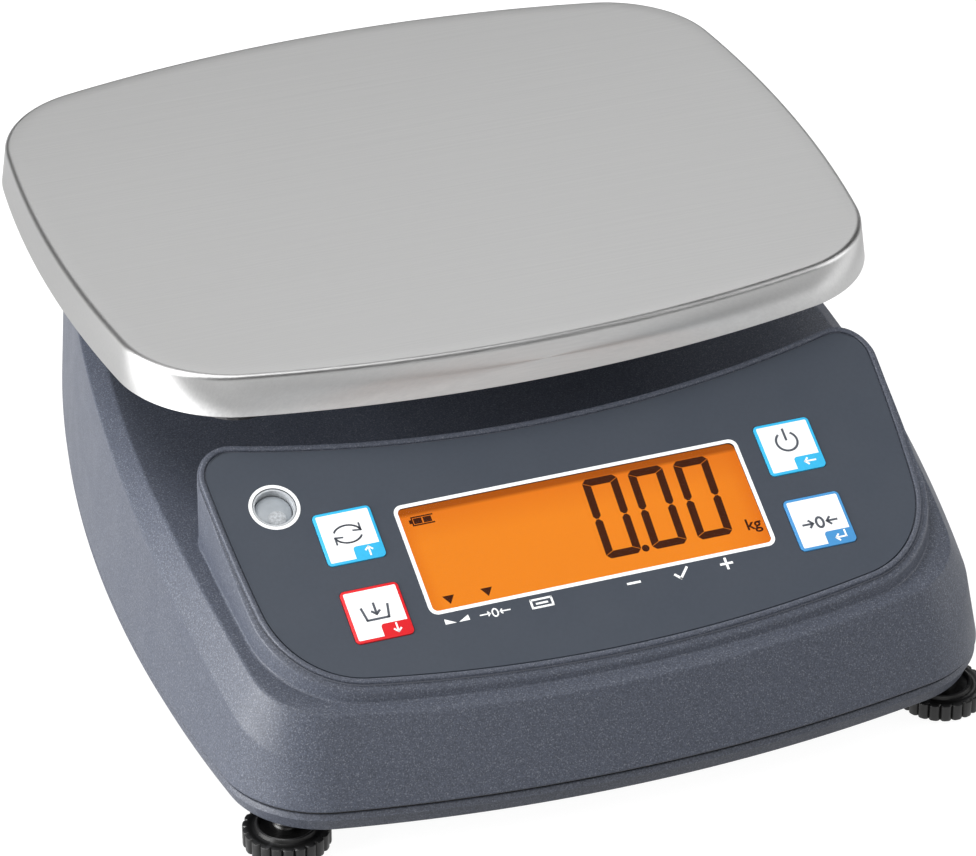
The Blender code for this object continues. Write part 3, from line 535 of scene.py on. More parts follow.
def half_outline(outline, steps):
    """Stations along the right half of an outline, from the middle of the front to the rear's."""
    front, side, rear, radii = outline
    near = corner_centre(front, side, radii[0], -1)
    far = corner_centre(side, rear, radii[1], 1)

    def touch(arc, centre):
        middle = Vector(arc[:2])
        return middle + (centre - middle).normalized() * abs(arc[2])

    start = Vector((0, front[1] - front[2]))
    end = Vector((0, rear[1] + rear[2]))
    a, b = touch(front, near), touch(side, near)
    c, d = touch(side, far), touch(rear, far)
    found = arc_stations(front[:2], front[2], start, a, steps[0])
    found += arc_stations(near, 1, a, b, steps[1])
    found += arc_stations(side[:2], side[2], b, c, steps[2])
    found += arc_stations(far, 1, c, d, steps[3])
    found += arc_stations(rear[:2], rear[2], d, end, steps[4])
    return [*found, (end, Vector((0, -1)))]


def skin(outline, steps, profile, cap=None):
    """A bmesh swept round an outline. profile(point, inward) gives its (inset, height) pairs.

    cap is "strips" to close the last row from right to left, or "face" for one flat face.
    """
    builder = bmesh.new()
    columns = []
    for point, inward in half_outline(outline, steps):
        column = []
        for inset, height in profile(point, inward):
            at = point + inward * inset
            column.append((at.x, at.y, height(at.y) if callable(height) else height))
        columns.append(column)
    last = len(columns) - 1
    right = [[builder.verts.new(p) for p in column] for column in columns]
    left = []
    for i, column in enumerate(columns):
        if i in (0, last):
            left.append(right[i])
        else:
            left.append([builder.verts.new((-p[0], p[1], p[2])) for p in column])
    for side in (right, left):
        for a, b in zip(side, side[1:]):
            for j in range(len(a) - 1):
                builder.faces.new((a[j], b[j], b[j + 1], a[j + 1]))
    if cap == "strips":
        builder.faces.new((right[0][-1], right[1][-1], left[1][-1]))
        for i in range(1, last - 1):
            builder.faces.new((right[i][-1], right[i + 1][-1], left[i + 1][-1], left[i][-1]))
        builder.faces.new((right[last - 1][-1], right[last][-1], left[last - 1][-1]))
    if cap == "face":
        builder.faces.new([c[-1] for c in right] + [c[-1] for c in reversed(left[1:-1])])
    return builder


def rounded(points, cuts, steps):
    """A polyline of (inset, height) with each inner corner rounded, cut back by its own length."""
    found = [points[0]]
    for before, corner, after, cut in zip(points, points[1:], points[2:], cuts):
        p, q, r = Vector(before), Vector(corner), Vector(after)
        start = q + (p - q).normalized() * min(cut, (p - q).length * 0.45)
        end = q + (r - q).normalized() * min(cut, (r - q).length * 0.45)
        for i in range(steps + 1):
            t = i / steps
            at = start * (1 - t) ** 2 + q * 2 * t * (1 - t) + end * t * t
            found.append((at.x, at.y))
    return [*found, points[-1]]


def rounded_rectangle(half_u, half_v, radius, steps=8):
    """Corner points of a rounded rectangle about the origin, anticlockwise."""
    found = []
    for quarter in range(4):
        angle = math.pi / 2 * quarter
        cu = (half_u - radius) * (1 if quarter in (0, 3) else -1)
        cv = (half_v - radius) * (1 if quarter in (0, 1) else -1)
        for i in range(steps + 1):
            turn = angle + math.pi / 2 * i / steps
            found.append((cu + radius * math.cos(turn), cv + radius * math.sin(turn)))
    return found


def slab(points, low, high, bevel=0.0):
    """A bmesh plate from a flat outline, its upper edge eased by a bevel."""
    builder = bmesh.new()
    face = builder.faces.new([builder.verts.new((x, y, high)) for x, y in points])
    made = bmesh.ops.extrude_face_region(builder, geom=[face])
    verts = [v for v in made["geom"] if isinstance(v, bmesh.types.BMVert)]
    bmesh.ops.translate(builder, vec=(0, 0, low - high), verts=verts)
    bmesh.ops.recalc_face_normals(builder, faces=builder.faces)
    if bevel:
        edges = [e for e in builder.edges if all(abs(v.co.z - high) < 1e-9 for v in e.verts)]
        bmesh.ops.bevel(builder, geom=edges, offset=bevel, segments=3, profile=0.5, affect="EDGES")
    return builder


def stitch(builder, rows):
    """Joins closed rows of vertices, all of the same number, by faces."""
    for a, b in zip(rows, rows[1:]):
        for i in range(len(a)):
            builder.faces.new((a[i - 1], a[i], b[i], b[i - 1]))
    return builder


def band(outer, inner, low, high):
    """A bmesh frame between two outlines that have the same number of points."""
    builder = bmesh.new()
    rows = []
    for points, z in ((outer, low), (outer, high), (inner, high), (inner, low)):
        rows.append([builder.verts.new((x, y, z)) for x, y in points])
    return stitch(builder, [*rows, rows[0]])


def circle(radius, steps=64, centre=(0.0, 0.0)):
    turns = (2 * math.pi * i / steps for i in range(steps))
    return [(centre[0] + radius * math.cos(t), centre[1] + radius * math.sin(t)) for t in turns]


def lathe(profile, steps=64):
    """A bmesh turned about z from a profile of (radius, height), closed at both ends on the axis."""
    builder = bmesh.new()
    rows = []
    for radius, height in profile:
        if radius < 1e-6:
            rows.append([builder.verts.new((0, 0, height))])
        else:
            rows.append([builder.verts.new((x, y, height)) for x, y in circle(radius, steps)])
    for a, b in zip(rows, rows[1:]):
        for i in range(steps):
            j = (i + 1) % steps
            ring = [a[i % len(a)], a[j % len(a)], b[j % len(b)], b[i % len(b)]]
            ring = list(dict.fromkeys(ring))
            if len(ring) > 2:
                builder.faces.new(ring)
    return builder


def merge(target, *others):
    """Adds other bmeshes to the first one and frees them."""
    for other in others:
        data = bpy.data.meshes.new("part")
        other.to_mesh(data)
        other.free()
        target.from_mesh(data)
        bpy.data.meshes.remove(data)
    return target


def shift(builder, x=0.0, y=0.0, z=0.0):
    bmesh.ops.translate(builder, vec=(x, y, z), verts=builder.verts)
    return builder


def carve(obj, *builders):
    """Cuts each shape out of an object and applies the cut."""
    for builder in builders:
        tool = to_object("cutter", builder)
        step = obj.modifiers.new("Carve", "BOOLEAN")
        step.solver = "EXACT"
        step.operation = "DIFFERENCE"
        step.object = tool
        apply_modifiers(obj)
        bpy.data.objects.remove(tool, do_unlink=True)


def thicken(obj, thickness):
    """Gives an open skin a wall on its inner side."""
    wall = obj.modifiers.new("Wall", "SOLIDIFY")
    wall.thickness = thickness
    wall.offset = -1
    apply_modifiers(obj)


def evaluated_mesh(obj):
    graph = bpy.context.evaluated_depsgraph_get()
    return bpy.data.meshes.new_from_object(obj.evaluated_get(graph))


def apply_modifiers(obj):
    old, obj.data = obj.data, evaluated_mesh(obj)
    obj.modifiers.clear()
    bpy.data.meshes.remove(old)


# ---------------------------------------------------------------- housing


def smooth_least(a, b, width):
    """The lesser of two heights, with the corner between them rounded off."""
    mix = min(max(0.5 + 0.5 * (b - a) / width, 0.0), 1.0)
    return b + (a - b) * mix - width * mix * (1 - mix)


def panel_height(y):
    return PANEL_ORIGIN.z + PANEL_SLOPE * (y - PANEL_ORIGIN.y)


def bent_line(y, slopes):
    """The height of a line that bends from its front slope to its rear one."""
    front, rear = (height + slope * (y - at) for height, slope, at in slopes[:2])
    return smooth_least(front, rear, slopes[2])


def plateau_height(y):
    return bent_line(y, PLATEAU)


def divided(points, counts):
    """A polyline with some of its runs, picked by number, divided into equal shorter ones."""
    found = [points[0]]
    for run, (a, b) in enumerate(zip(points, points[1:])):
        count = counts.get(run, 1)
        for i in range(1, count + 1):
            share = i / count
            found.append((a[0] + (b[0] - a[0]) * share, a[1] + (b[1] - a[1]) * share))
    return found


def housing_profile(point, inward):
    """From the parting line up the wall, over the crease and the ridge, and onto the plateau."""
    low = bent_line(point.y + inward.y * CREASE_INSET, SHOULDER)
    high = plateau_height(point.y + inward.y * RIDGE_INSET)
    inner = RIDGE_INSET + 0.005
    points = [
        (0.0004, PARTING),
        (0.0, PARTING + 0.0005),
        (CREASE_INSET, low),
        (RIDGE_INSET, high),
        (inner, plateau_height(point.y + inward.y * inner)),
    ]
    return divided(rounded(points, (0.0004, 0.0007, 0.0007), 5), {6: 8, 12: 3})


def housing_shell():
    """The upper housing: walls, plateau, the collar round the load post, and the jack's hole."""
    builder = skin(HOUSING, HOUSING_STEPS, housing_profile, "strips")
    shell = finish_mesh("housing_shell", builder, GREY, smooth=32)
    thicken(shell, SHELL_WALL)
    post = middle_of("dust_seal")
    high = bottom_of("dust_seal") + 0.0062
    opening = lathe([(0, 0.045), (POST_HOLE, 0.045), (POST_HOLE, 0.1), (0, 0.1)], 72)
    jack = middle_of("power_jack")
    hole = lathe([(0, -0.01), (JACK_HOLE, -0.01), (JACK_HOLE, 0.03), (0, 0.03)], 48)
    turn = Matrix.Translation(jack) @ Matrix.Rotation(-math.pi / 2, 4, "X")
    bmesh.ops.transform(hole, matrix=turn, verts=hole.verts)
    carve(shell, shift(opening, post.x, post.y), hole)
    collar = [(POST_HOLE, 0.064), (POST_HOLE, high - 0.0004), (0.0204, high), (0.0242, high)]
    collar += [(0.025, high - 0.0008), (0.0252, 0.07), (0.0262, 0.066), (POST_HOLE, 0.064)]
    finish_mesh("housing_collar", shift(lathe(collar, 96), post.x, post.y), GREY, "housing", 40)
    settle(shell, "housing", "upper_housing")


def block_profile(point, inward):
    """Out of the plateau by a fillet, up the wall, over the rim band and the lip to the recess."""
    tall = max(panel_height(point.y) - plateau_height(point.y), 0.002)
    foot = 0.0037
    spread = min(0.0004 + 0.05 * max(tall - 0.0035, 0.0), 0.001)

    def above(depth):
        return lambda y: panel_height(y) + depth

    def on_plateau(lift):
        return lambda y: plateau_height(y) + lift

    column = [(-foot - spread, on_plateau(-0.0012)), (-foot - spread * 0.98, on_plateau(0.0))]
    for i in range(1, 7):
        angle = math.pi / 2 * i / 6
        reach = foot + spread * (1 - math.sin(angle))
        column.append((-reach, on_plateau(spread * 0.9 * (1 - math.cos(angle)))))
    column += [(-0.0036, above(-0.0014)), (-0.00355, above(-0.0011)), (-0.0034, above(-0.00085))]
    column += [(-0.0031, above(-0.0007)), (-0.0029, above(-0.00062)), (-0.0018, above(-0.00055))]
    column += [(-0.0016, above(-0.0005)), (-0.0015, above(-0.0003)), (-0.00145, above(0.0))]
    column += [(-0.0013, above(0.00018)), (-0.0011, above(0.00024)), (-0.0005, above(0.00022))]
    column += [(-0.0003, above(0.00014)), (-0.0002, above(-0.0001)), (-0.0002, above(-0.00066))]
    column += [(0.0008, above(-0.00067))]
    slim = 0.35 + 0.65 * min(max((-0.1 - point.y) / 0.035, 0.0), 1.0)
    return [(x if x > -0.0015 else -0.0015 + (x + 0.0015) * slim, z) for x, z in column]


def panel_block():
    """The raised block that carries the key panel, with its pockets and openings."""
    builder = skin(FOIL, FOIL_STEPS, block_profile, "face")
    block = finish_mesh("panel_block", builder, GREY, smooth=30)
    thicken(block, BLOCK_WALL)
    u, v = (s / 2 + 0.0002 for s in WINDOW)
    tools = [slab(rounded_rectangle(u, v, WINDOW_CORNER), -0.0016, 0.005)]
    u, v = (s / 2 for s in VIEW)
    tools.append(slab(rounded_rectangle(u, v, 0.0015), -0.012, 0.004))
    half = KEY_SIDE / 2 + 0.0002
    for key in KEYS.values():
        tools.append(shift(slab(rounded_rectangle(half, half, KEY_CORNER), -0.0013, 0.005), *key))
        tools.append(shift(slab(circle(0.0027, 32), -0.012, 0.003), *key))
    tools.append(shift(slab(circle(LEVEL_HOLE), -0.014, 0.004), *LEVEL))
    for tool in tools:
        place_on_panel(tool)
    carve(block, *tools)
    settle(block, "housing")


def tray_profile(point, inward):
    """Under the base from near its middle, round the lower edge, up the taper and the lip."""
    points = [
        (0.019, TRAY_BOTTOM + 0.0006),
        (0.0165, TRAY_BOTTOM + 0.0006),
        (0.016, TRAY_BOTTOM),
        (0.0022, TRAY_BOTTOM),
        (0.0012, TRAY_KNEE),
        (0.0004, TRAY_KNEE + 0.0002),
        (0.0003, TRAY_KNEE + 0.0005),
        (0.0009, TRAY_TOP),
        (0.0032, TRAY_TOP),
        (0.0034, TRAY_KNEE + 0.0006),
        (0.005, TRAY_BOTTOM + 0.0024),
        (0.019, TRAY_BOTTOM + 0.0024),
    ]
    cuts = (0.0003, 0.0003, 0.0006, 0.0002, 0.0001, 0.0001, 0.0003, 0.0002, 0.0003, 0.0006)
    return rounded(points, cuts, 4)


def base_tray():
    """The lower shell: rim, floor, the battery bay and the holes for feet, screws and bolts."""
    builder = skin(HOUSING, HOUSING_STEPS, tray_profile)
    right = [p + n * 0.0188 for p, n in half_outline(HOUSING, HOUSING_STEPS)]
    loop = [(p.x, p.y) for p in right] + [(-p.x, p.y) for p in reversed(right[1:-1])]
    floor = slab(loop, TRAY_BOTTOM + 0.0006, TRAY_BOTTOM + 0.0024)
    tray = finish_mesh("base_tray_shell", merge(builder, floor), GREY_DARK, smooth=32)
    holes = [(f"foot_insert_{foot}", 0.0046, 40, 0.03) for foot in FEET]
    holes += [(f"housing_screw_{foot}", 0.004, 32, TRAY_BOTTOM + 0.0021) for foot in FEET]
    bolts = ("load_cell_bolt_1", "load_cell_bolt_2", "overload_stop")
    holes += [(bolt, 0.0034, 32, 0.03) for bolt in bolts]
    tools = []
    for node, radius, steps, high in holes:
        at = middle_of(node)
        tools.append(shift(slab(circle(radius, steps), 0.0, high), at.x, at.y))
    low, high = box_of("battery_cover")
    half = (high - low) / 2 + Vector((0.0003, 0.0003, 0))
    bay = slab(rounded_rectangle(half.x, half.y, 0.0008), 0.0, 0.03)
    tools.append(shift(bay, (low.x + high.x) / 2, (low.y + high.y) / 2))
    carve(tray, *tools)
    settle(tray, "housing", "base_tray")


def gasket():
    """The soft seal in the parting line, set in a little from the walls."""
    low, high = TRAY_TOP + GASKET_GAP, PARTING - GASKET_GAP

    def profile(point, inward):
        outside = [(0.0024, low), (0.0012, low), (0.0011, (low + high) / 2), (0.0012, high)]
        return [*outside, (0.0024, high), (0.0024, low)]

    seal = skin(HOUSING, HOUSING_STEPS, profile)
    finish_mesh("parting_gasket", seal, RUBBER, "housing", 40, "housing_gasket")


# ---------------------------------------------------------------- weighing plate


def plate_profile(point, inward):
    """The outside of the pressed pan in section: skirt, rolled upper edge and the start of the top."""
    column = [(-PLATE_FLARE + 0.0002, PLATE_LOW), (-PLATE_FLARE, PLATE_LOW + 0.0002)]
    start = PLATE_TOP - PLATE_ROLL
    for i in range(1, 4):
        share = i / 4
        column.append((-PLATE_FLARE * (1 - share), PLATE_LOW + (start - PLATE_LOW) * share))
    for i in range(9):
        angle = math.pi / 2 * i / 8
        inset, lift = PLATE_ROLL * (1 - math.cos(angle)), PLATE_ROLL * math.sin(angle)
        column.append((inset, start + lift))
    return column + [(inset, PLATE_TOP) for inset in (0.006, 0.012, 0.02)]


def weighing_plate():
    builder = skin(PLATE, PLATE_STEPS, plate_profile, "strips")
    plate = finish_mesh("steel_plate", builder, STEEL, smooth=40)
    thicken(plate, PLATE_SHEET)
    plate.data.set_sharp_from_angle(angle=math.radians(40))
    settle(plate, "plate", "weighing_plate")


# ---------------------------------------------------------------- key panel


def foil():
    """The printed film over the panel, with holes for the window, the keys and the level."""
    upright = 1 / math.cos(PANEL_ANGLE)

    def low(y):
        return panel_height(y) - 0.00056 * upright

    def high(y):
        return panel_height(y) + FOIL_TOP * upright

    def profile(point, inward):
        return [(0.004, low), (0.00022, low), (0.00022, high), (0.004, high)]

    builder = skin(FOIL, FOIL_STEPS, profile)
    edges = [e for e in builder.edges if e.is_boundary]
    bmesh.ops.holes_fill(builder, edges=edges)
    film = finish_mesh("key_film", builder, FILM, smooth=30)
    u, v = (s / 2 + 0.0002 for s in WINDOW)
    tools = [slab(rounded_rectangle(u, v, WINDOW_CORNER), -0.004, 0.004)]
    half = KEY_SIDE / 2 + 0.00018
    for key in KEYS.values():
        tools.append(shift(slab(rounded_rectangle(half, half, KEY_CORNER), -0.004, 0.004), *key))
    tools.append(shift(slab(circle(LEVEL_HOLE), -0.004, 0.004), *LEVEL))
    for tool in tools:
        place_on_panel(tool)
    carve(film, *tools)
    settle(film, "housing", "keypad_foil")


def print_piece(name, shapes, coat, body="housing", lift=PRINT_TOP, thick=PRINT_THICK):
    """Ink on the panel: flat outlines in panel units, drawn as one thin piece."""
    builder = bmesh.new()
    for points in shapes:
        merge(builder, slab(points, lift - thick, lift))
    place_on_panel(builder)
    finish_mesh(name, builder, coat, body, 0)


def stroke(points, width, closed=False):
    """A line of a given width through points, as one closed outline for each straight run."""
    found = []
    pairs = list(zip(points, points[1:]))
    if closed:
        pairs.append((points[-1], points[0]))
    for a, b in pairs:
        a, b = Vector(a), Vector(b)
        along = (b - a).normalized()
        side = Vector((-along.y, along.x)) * width / 2
        reach = along * width * 0.45
        ends = (a - reach + side, a - reach - side, b + reach - side, b + reach + side)
        found.append([(p.x, p.y) for p in ends])
    return found


def arc_line(centre, radius, start, end, steps):
    turns = (math.radians(start + (end - start) * i / steps) for i in range(steps + 1))
    return [(centre[0] + radius * math.cos(t), centre[1] + radius * math.sin(t)) for t in turns]


def arc_stroke(centre, radius, start, end, width, steps):
    """A curved line of a given width as one outline."""
    outer = arc_line(centre, radius + width / 2, start, end, steps)
    return [outer + arc_line(centre, radius - width / 2, end, start, steps)]


def arrow(tip, angle, length, width, head):
    """A straight arrow that ends at tip, pointing along angle in degrees."""
    turn = math.radians(angle)
    along = Vector((math.cos(turn), math.sin(turn)))
    tip = Vector(tip)
    shapes = stroke([tip - along * length, tip - along * width], width)
    for side in (-1, 1):
        spread = Matrix.Rotation(side * math.radians(138), 2) @ along
        shapes += stroke([tip - along * width * 0.3, tip + spread * head], width)
    return shapes


def moved(shapes, u, v):
    return [[(u + x, v + y) for x, y in shape] for shape in shapes]


def zero_mark(reach, half_u, half_v, width, head):
    """A nought between two arrows that point at it, the usual sign for zero."""
    outer = [(x * half_u, y * half_v) for x, y in circle(1.0, 28)]
    inner = [(x * (half_u - width), y * (half_v - width)) for x, y in circle(1.0, 28)]
    shapes = []
    for i in range(28):
        j = (i + 1) % 28
        shapes.append([outer[i], outer[j], inner[j], inner[i]])
    near = half_u + 0.35 * half_u
    shapes += arrow((-near, 0), 0, reach - near, width * 0.9, head)
    shapes += arrow((near, 0), 180, reach - near, width * 0.9, head)
    return shapes


def turning_arrows(wide, tall, width):
    """Two curved arrows that chase each other round an ellipse."""
    shapes = []
    for start, end in ((155, 12), (335, 192)):
        turns = [math.radians(start + (end - start) * i / 14) for i in range(15)]
        line = [(wide * math.cos(t), tall * math.sin(t)) for t in turns]
        shapes += stroke(line, width)
        side = 1 if line[-1][0] > 0 else -1
        tip = Vector(line[-1])
        for back in ((-0.0021, 0.0002), (0.0, 0.0021)):
            shapes += stroke([tip, tip + Vector(back) * side], width)
    return shapes


def key_marks(name):
    """The sign on each key's white face, in key units."""
    width = 0.0007
    if name == "mode":
        return turning_arrows(0.004, 0.0028, 0.00055)
    if name == "tare":
        pan = [(-0.0038, 0.0016), (-0.0031, -0.0023), (0.0031, -0.0023), (0.0038, 0.0016)]
        return stroke(pan, width) + arrow((0, -0.001), -90, 0.0036, width, 0.0016)
    if name == "power":
        ring = arc_stroke((0, 0), 0.0031, 125, 415, width, 28)
        return ring + stroke([(0, 0.0006), (0, 0.004)], width)
    return zero_mark(0.005, 0.0014, 0.002, 0.00075, 0.0016)


def tab_marks(name):
    """The small white arrow in the coloured corner of each key."""
    width, head = 0.0005, 0.0014
    if name == "mode":
        return arrow((0, 0.0014), 90, 0.0028, width, head)
    if name == "tare":
        return arrow((0, -0.0014), -90, 0.0028, width, head)
    if name == "power":
        return arrow((-0.0016, 0), 180, 0.0033, width, head)
    corner = stroke([(0.0016, -0.0005), (0.0016, 0.0014)], width)
    return arrow((-0.0016, -0.0005), 180, 0.0033, width, head) + corner


def key_face(half):
    """A key's white face: a square with its lower right corner left to the coloured tab."""
    edge = half - 0.00085
    tab_u, tab_v, ease = -0.0002, -half + 0.0047, 0.001
    face = [(x, y) for x, y in rounded_rectangle(edge, edge, 0.0004, 4) if x < tab_u or y > tab_v]
    start = next(i for i, p in enumerate(face) if p[0] > 0 and p[1] > 0)
    face = face[start:] + face[:start]
    curve = arc_line((tab_u + ease, tab_v - ease), ease, 180, 90, 5)
    return [*face, (tab_u, -edge), *curve, (edge, tab_v)]


def keys():
    """The four keys: a soft film pad with a coloured rim, corner tab and sign, on a short stem."""
    coats = {"mode": CYAN_PRINT, "tare": RED_PRINT, "power": CYAN_PRINT, "zero": BLUE_PRINT}
    lifts = {"mode": 0.0006, "tare": 0.0004, "power": 0.0018, "zero": -0.0004}
    half = KEY_SIDE / 2
    top = 0.00022
    for name, (u, v) in KEYS.items():
        body = f"key_{name}_body"
        pad = slab(rounded_rectangle(half, half, 0.0014), -0.0008, top, 0.00012)
        pad = merge(pad, slab(circle(0.0022, 32), -0.0069, -0.0007))
        place_on_panel(pad, u, v)
        finish_mesh(f"key_pad_{name}", pad, coats[name], body, 40, f"key_{name}")
        face = moved([key_face(half)], u, v)
        print_piece(f"key_face_{name}", face, WHITE_PRINT, body, top + 0.00003)
        signs = moved(key_marks(name), u - 0.0002, v + lifts[name])
        print_piece(f"key_sign_{name}", signs, GREY_PRINT, body, top + 0.00006)
        signs = moved(tab_marks(name), u + 0.0041, v - half + 0.0027)
        print_piece(f"key_arrow_{name}", signs, WHITE_PRINT, body, top + 0.00006)


def panel_prints():
    """White ink on the film: the display's frame, the level's ring and the small signs."""
    outer = rounded_rectangle(0.05125, 0.0179, 0.0026)
    inner = rounded_rectangle(0.05125 - 0.0011, 0.0179 - 0.0011, 0.0016)
    frame_print = band(outer, inner, FOIL_TOP, PRINT_TOP)
    place_on_panel(frame_print)
    finish_mesh("window_frame_print", frame_print, WHITE_PRINT, "housing", 0)
    ring = band(circle(0.0072, 72), circle(0.0062, 72), FOIL_TOP, PRINT_TOP)
    place_on_panel(ring, *LEVEL)
    finish_mesh("level_ring_print", ring, WHITE_PRINT, "housing", 0)
    print_piece("panel_signs", moved(status_signs(), 0.0, -0.0208), WHITE_PRINT)


def status_signs():
    """The row under the display: steady, zero, a box, and minus, tick and plus for low, good, high."""
    shapes = [[(-0.0481, 0.0011), (-0.0482, -0.0006), (-0.045, -0.0006)]]
    shapes += [[(-0.0412, 0.0011), (-0.0443, -0.0006), (-0.0411, -0.0006)]]
    shapes += moved(zero_mark(0.0043, 0.001, 0.0014, 0.00042, 0.0009), -0.0336, 0.0)
    box_sign = [(-0.0229, -0.0012), (-0.0229, 0.0013), (-0.0169, 0.0013), (-0.0169, -0.0012)]
    shapes += stroke(box_sign, 0.0006, True)
    shapes += stroke([(-0.0214, 0.0), (-0.0184, 0.0)], 0.0006)
    shapes += stroke([(0.0056, 0.0002), (0.009, 0.0002)], 0.0007)
    shapes += stroke([(0.0195, 0.0), (0.0208, -0.0014), (0.0234, 0.0016)], 0.0007)
    shapes += stroke([(0.0333, 0.0002), (0.0365, 0.0002)], 0.0007)
    return shapes + stroke([(0.0349, -0.0014), (0.0349, 0.0018)], 0.0007)


def digit(shown, u, v):
    """The lit segments of a digit, as slanted outlines with its four outer corners eased."""
    wide, tall, bar, gap, ease = 0.0104, 0.026, 0.0023, 0.00011, 0.0011
    mid = tall / 2
    top = [(gap, tall - ease), (ease + gap, tall), (wide - ease - gap, tall)]
    top += [(wide - gap, tall - ease), (wide - bar - gap, tall - bar), (bar + gap, tall - bar)]
    upper = [(0, tall - ease - gap), (0, mid + bar * 0.42), (bar * 0.3, mid + gap)]
    upper += [(bar * 0.62, mid + gap), (bar, mid + bar * 0.42), (bar, tall - bar - gap)]
    bars = {
        "a": top,
        "d": [(x, tall - y) for x, y in reversed(top)],
        "f": upper,
        "b": [(wide - x, y) for x, y in reversed(upper)],
        "e": [(x, tall - y) for x, y in reversed(upper)],
        "c": [(wide - x, tall - y) for x, y in upper],
    }
    lean = math.tan(math.radians(2.2))
    return [[(u + x + y * lean, v + y) for x, y in bars[key]] for key in shown]


def unit_sign():
    """The unit beside the digits, as flat outlines in the plane z = 0."""
    curve = bpy.data.curves.new("letters", "FONT")
    curve.body = "kg"
    curve.size = 0.005
    curve.resolution_u = 4
    curve.offset = 0.0001
    obj = add_object("letters", curve)
    data = evaluated_mesh(obj)
    builder = bmesh.new()
    builder.from_mesh(data)
    bpy.data.objects.remove(obj, do_unlink=True)
    bpy.data.meshes.remove(data)
    return builder


def rectangle(u, v, wide, tall):
    return [(u, v), (u + wide, v), (u + wide, v + tall), (u, v + tall)]


def battery_sign():
    """A small battery with two full cells and an open end."""
    shapes = stroke([(0.0061, 0.0026), (0, 0.0026), (0, 0), (0.0061, 0)], 0.0004)
    shapes += [rectangle(-0.0009, 0.0007, 0.0008, 0.0012)]
    shapes += [rectangle(start, 0.0004, 0.0024, 0.0018) for start in (0.0004, 0.0032)]
    return shapes


def display():
    """Window, lit field and dark segments."""
    top = -0.0013
    ink_top = top + 0.0001
    u, v = (s / 2 for s in WINDOW)
    field = slab(rounded_rectangle(u - 0.0001, v - 0.0001, 0.002), top - 0.0002, top)
    place_on_panel(field)
    finish_mesh("display_field", field, ORANGE, "housing", 30, "display_glass")
    shapes = []
    for i in range(3):
        shapes += digit("abcdef", 0.003 + 0.01365 * i, -0.0111)
    shapes += [circle(0.0011, 24, (0.0147, -0.0101))]
    for at in (-0.0443, -0.0332):
        shapes += [[(at - 0.0017, -0.0121), (at, -0.0148), (at + 0.0017, -0.0121)]]
    shapes += moved(battery_sign(), -0.0466, 0.0114)
    print_piece("display_segments", shapes, INK, "housing", ink_top, 0.00006)
    unit = unit_sign()
    place_on_panel(unit, 0.0449, -0.0111, ink_top)
    finish_mesh("display_unit", unit, INK, "housing", 0)
    lens = slab(rounded_rectangle(u, v, 0.002), -0.0011, FOIL_TOP, 0.0001)
    place_on_panel(lens)
    finish_mesh("window_lens", lens, CLEAR, "housing", 30, "display_window")


def level():
    """The round vial: a cup of liquid under a clear-looking dome with its bubble, ring and sleeve."""
    low, high = box_of("level_vial")
    at = (low + high) / 2
    radius = (high.x - low.x) / 2
    cup = [(0, low.z), (radius, low.z), (radius, high.z - 0.0004), (radius - 0.0004, high.z)]
    vial = shift(lathe([*cup, (0, high.z + 0.0003)]), at.x, at.y)
    finish_mesh("vial_cup", vial, LIQUID, "housing", 40, "level_vial")
    ring = band(circle(0.003, 48), circle(0.0027, 48), high.z + 0.0004, high.z + 0.0005)
    ring = shift(ring, at.x, at.y)
    finish_mesh("vial_ring", ring, GREY_PRINT, "housing", 0)
    sleeve = band(circle(0.006, 72), circle(0.0055, 72), -0.0085, -0.0003)
    place_on_panel(sleeve, *LEVEL)
    finish_mesh("vial_sleeve", sleeve, PALE_PLASTIC, "housing", 40)
    dome = [(0.0, -0.0018), (0.003, -0.002), (0.0048, -0.0024), (0.0053, -0.0029)]
    dome = lathe([*dome, (0.0054, -0.0034), (0.0054, -0.0056), (0.0, -0.0056)])
    place_on_panel(dome, *LEVEL)
    finish_mesh("vial_dome", dome, LIQUID, "housing", 40)
    bubble = [(0.0, -0.0016), (0.0014, -0.00165), (0.0022, -0.0018), (0.0026, -0.0021)]
    bubble = lathe([*bubble, (0.0, -0.0025)], 48)
    place_on_panel(bubble, LEVEL[0] + 0.0003, LEVEL[1] - 0.0024)
    finish_mesh("vial_bubble", bubble, PALE_PLASTIC, "housing", 40)


# ---------------------------------------------------------------- feet


def knurled_row(builder, height, ease, count):
    """A row of vertices round the wheel's scalloped edge, drawn in by an ease."""
    row = []
    for i in range(count):
        turn = 2 * math.pi * i / count
        wave = abs(math.sin(turn * SCALLOPS / 2))
        reach = WHEEL_RADIUS - SCALLOP_DEPTH * (1 - wave) ** 2.2 - ease
        row.append(builder.verts.new((reach * math.cos(turn), reach * math.sin(turn), height)))
    return row


def wheel_disc(builder):
    """The wheel: hollow underneath, scalloped round its edge, with a raised ring on top."""
    count = SCALLOPS * 10
    edge = ((WHEEL_BOTTOM, 0.0006), (0.0012, 0.0001), (0.0015, 0.0))
    edge += ((0.0057, 0.0), (0.006, 0.0001), (WHEEL_TOP, 0.0005))
    groove = ((0.0106, WHEEL_TOP), (0.01, 0.006), (0.0094, 0.006))
    ring = ((0.0089, WHEEL_TOP), (0.0086, 0.0072), (0.0082, 0.0074), (0.0078, 0.0072))
    ring += ((0.0075, 0.0063), (0.0048, WHEEL_TOP))

    def plain_row(radius, height):
        return [builder.verts.new((x, y, height)) for x, y in circle(radius, count)]

    rows = [plain_row(0.0099, 0.0025), plain_row(0.01, WHEEL_BOTTOM)]
    builder.faces.new(rows[0])
    rows += [knurled_row(builder, height, ease, count) for height, ease in edge]
    rows += [plain_row(radius, height) for radius, height in groove + ring]
    stitch(builder, rows)


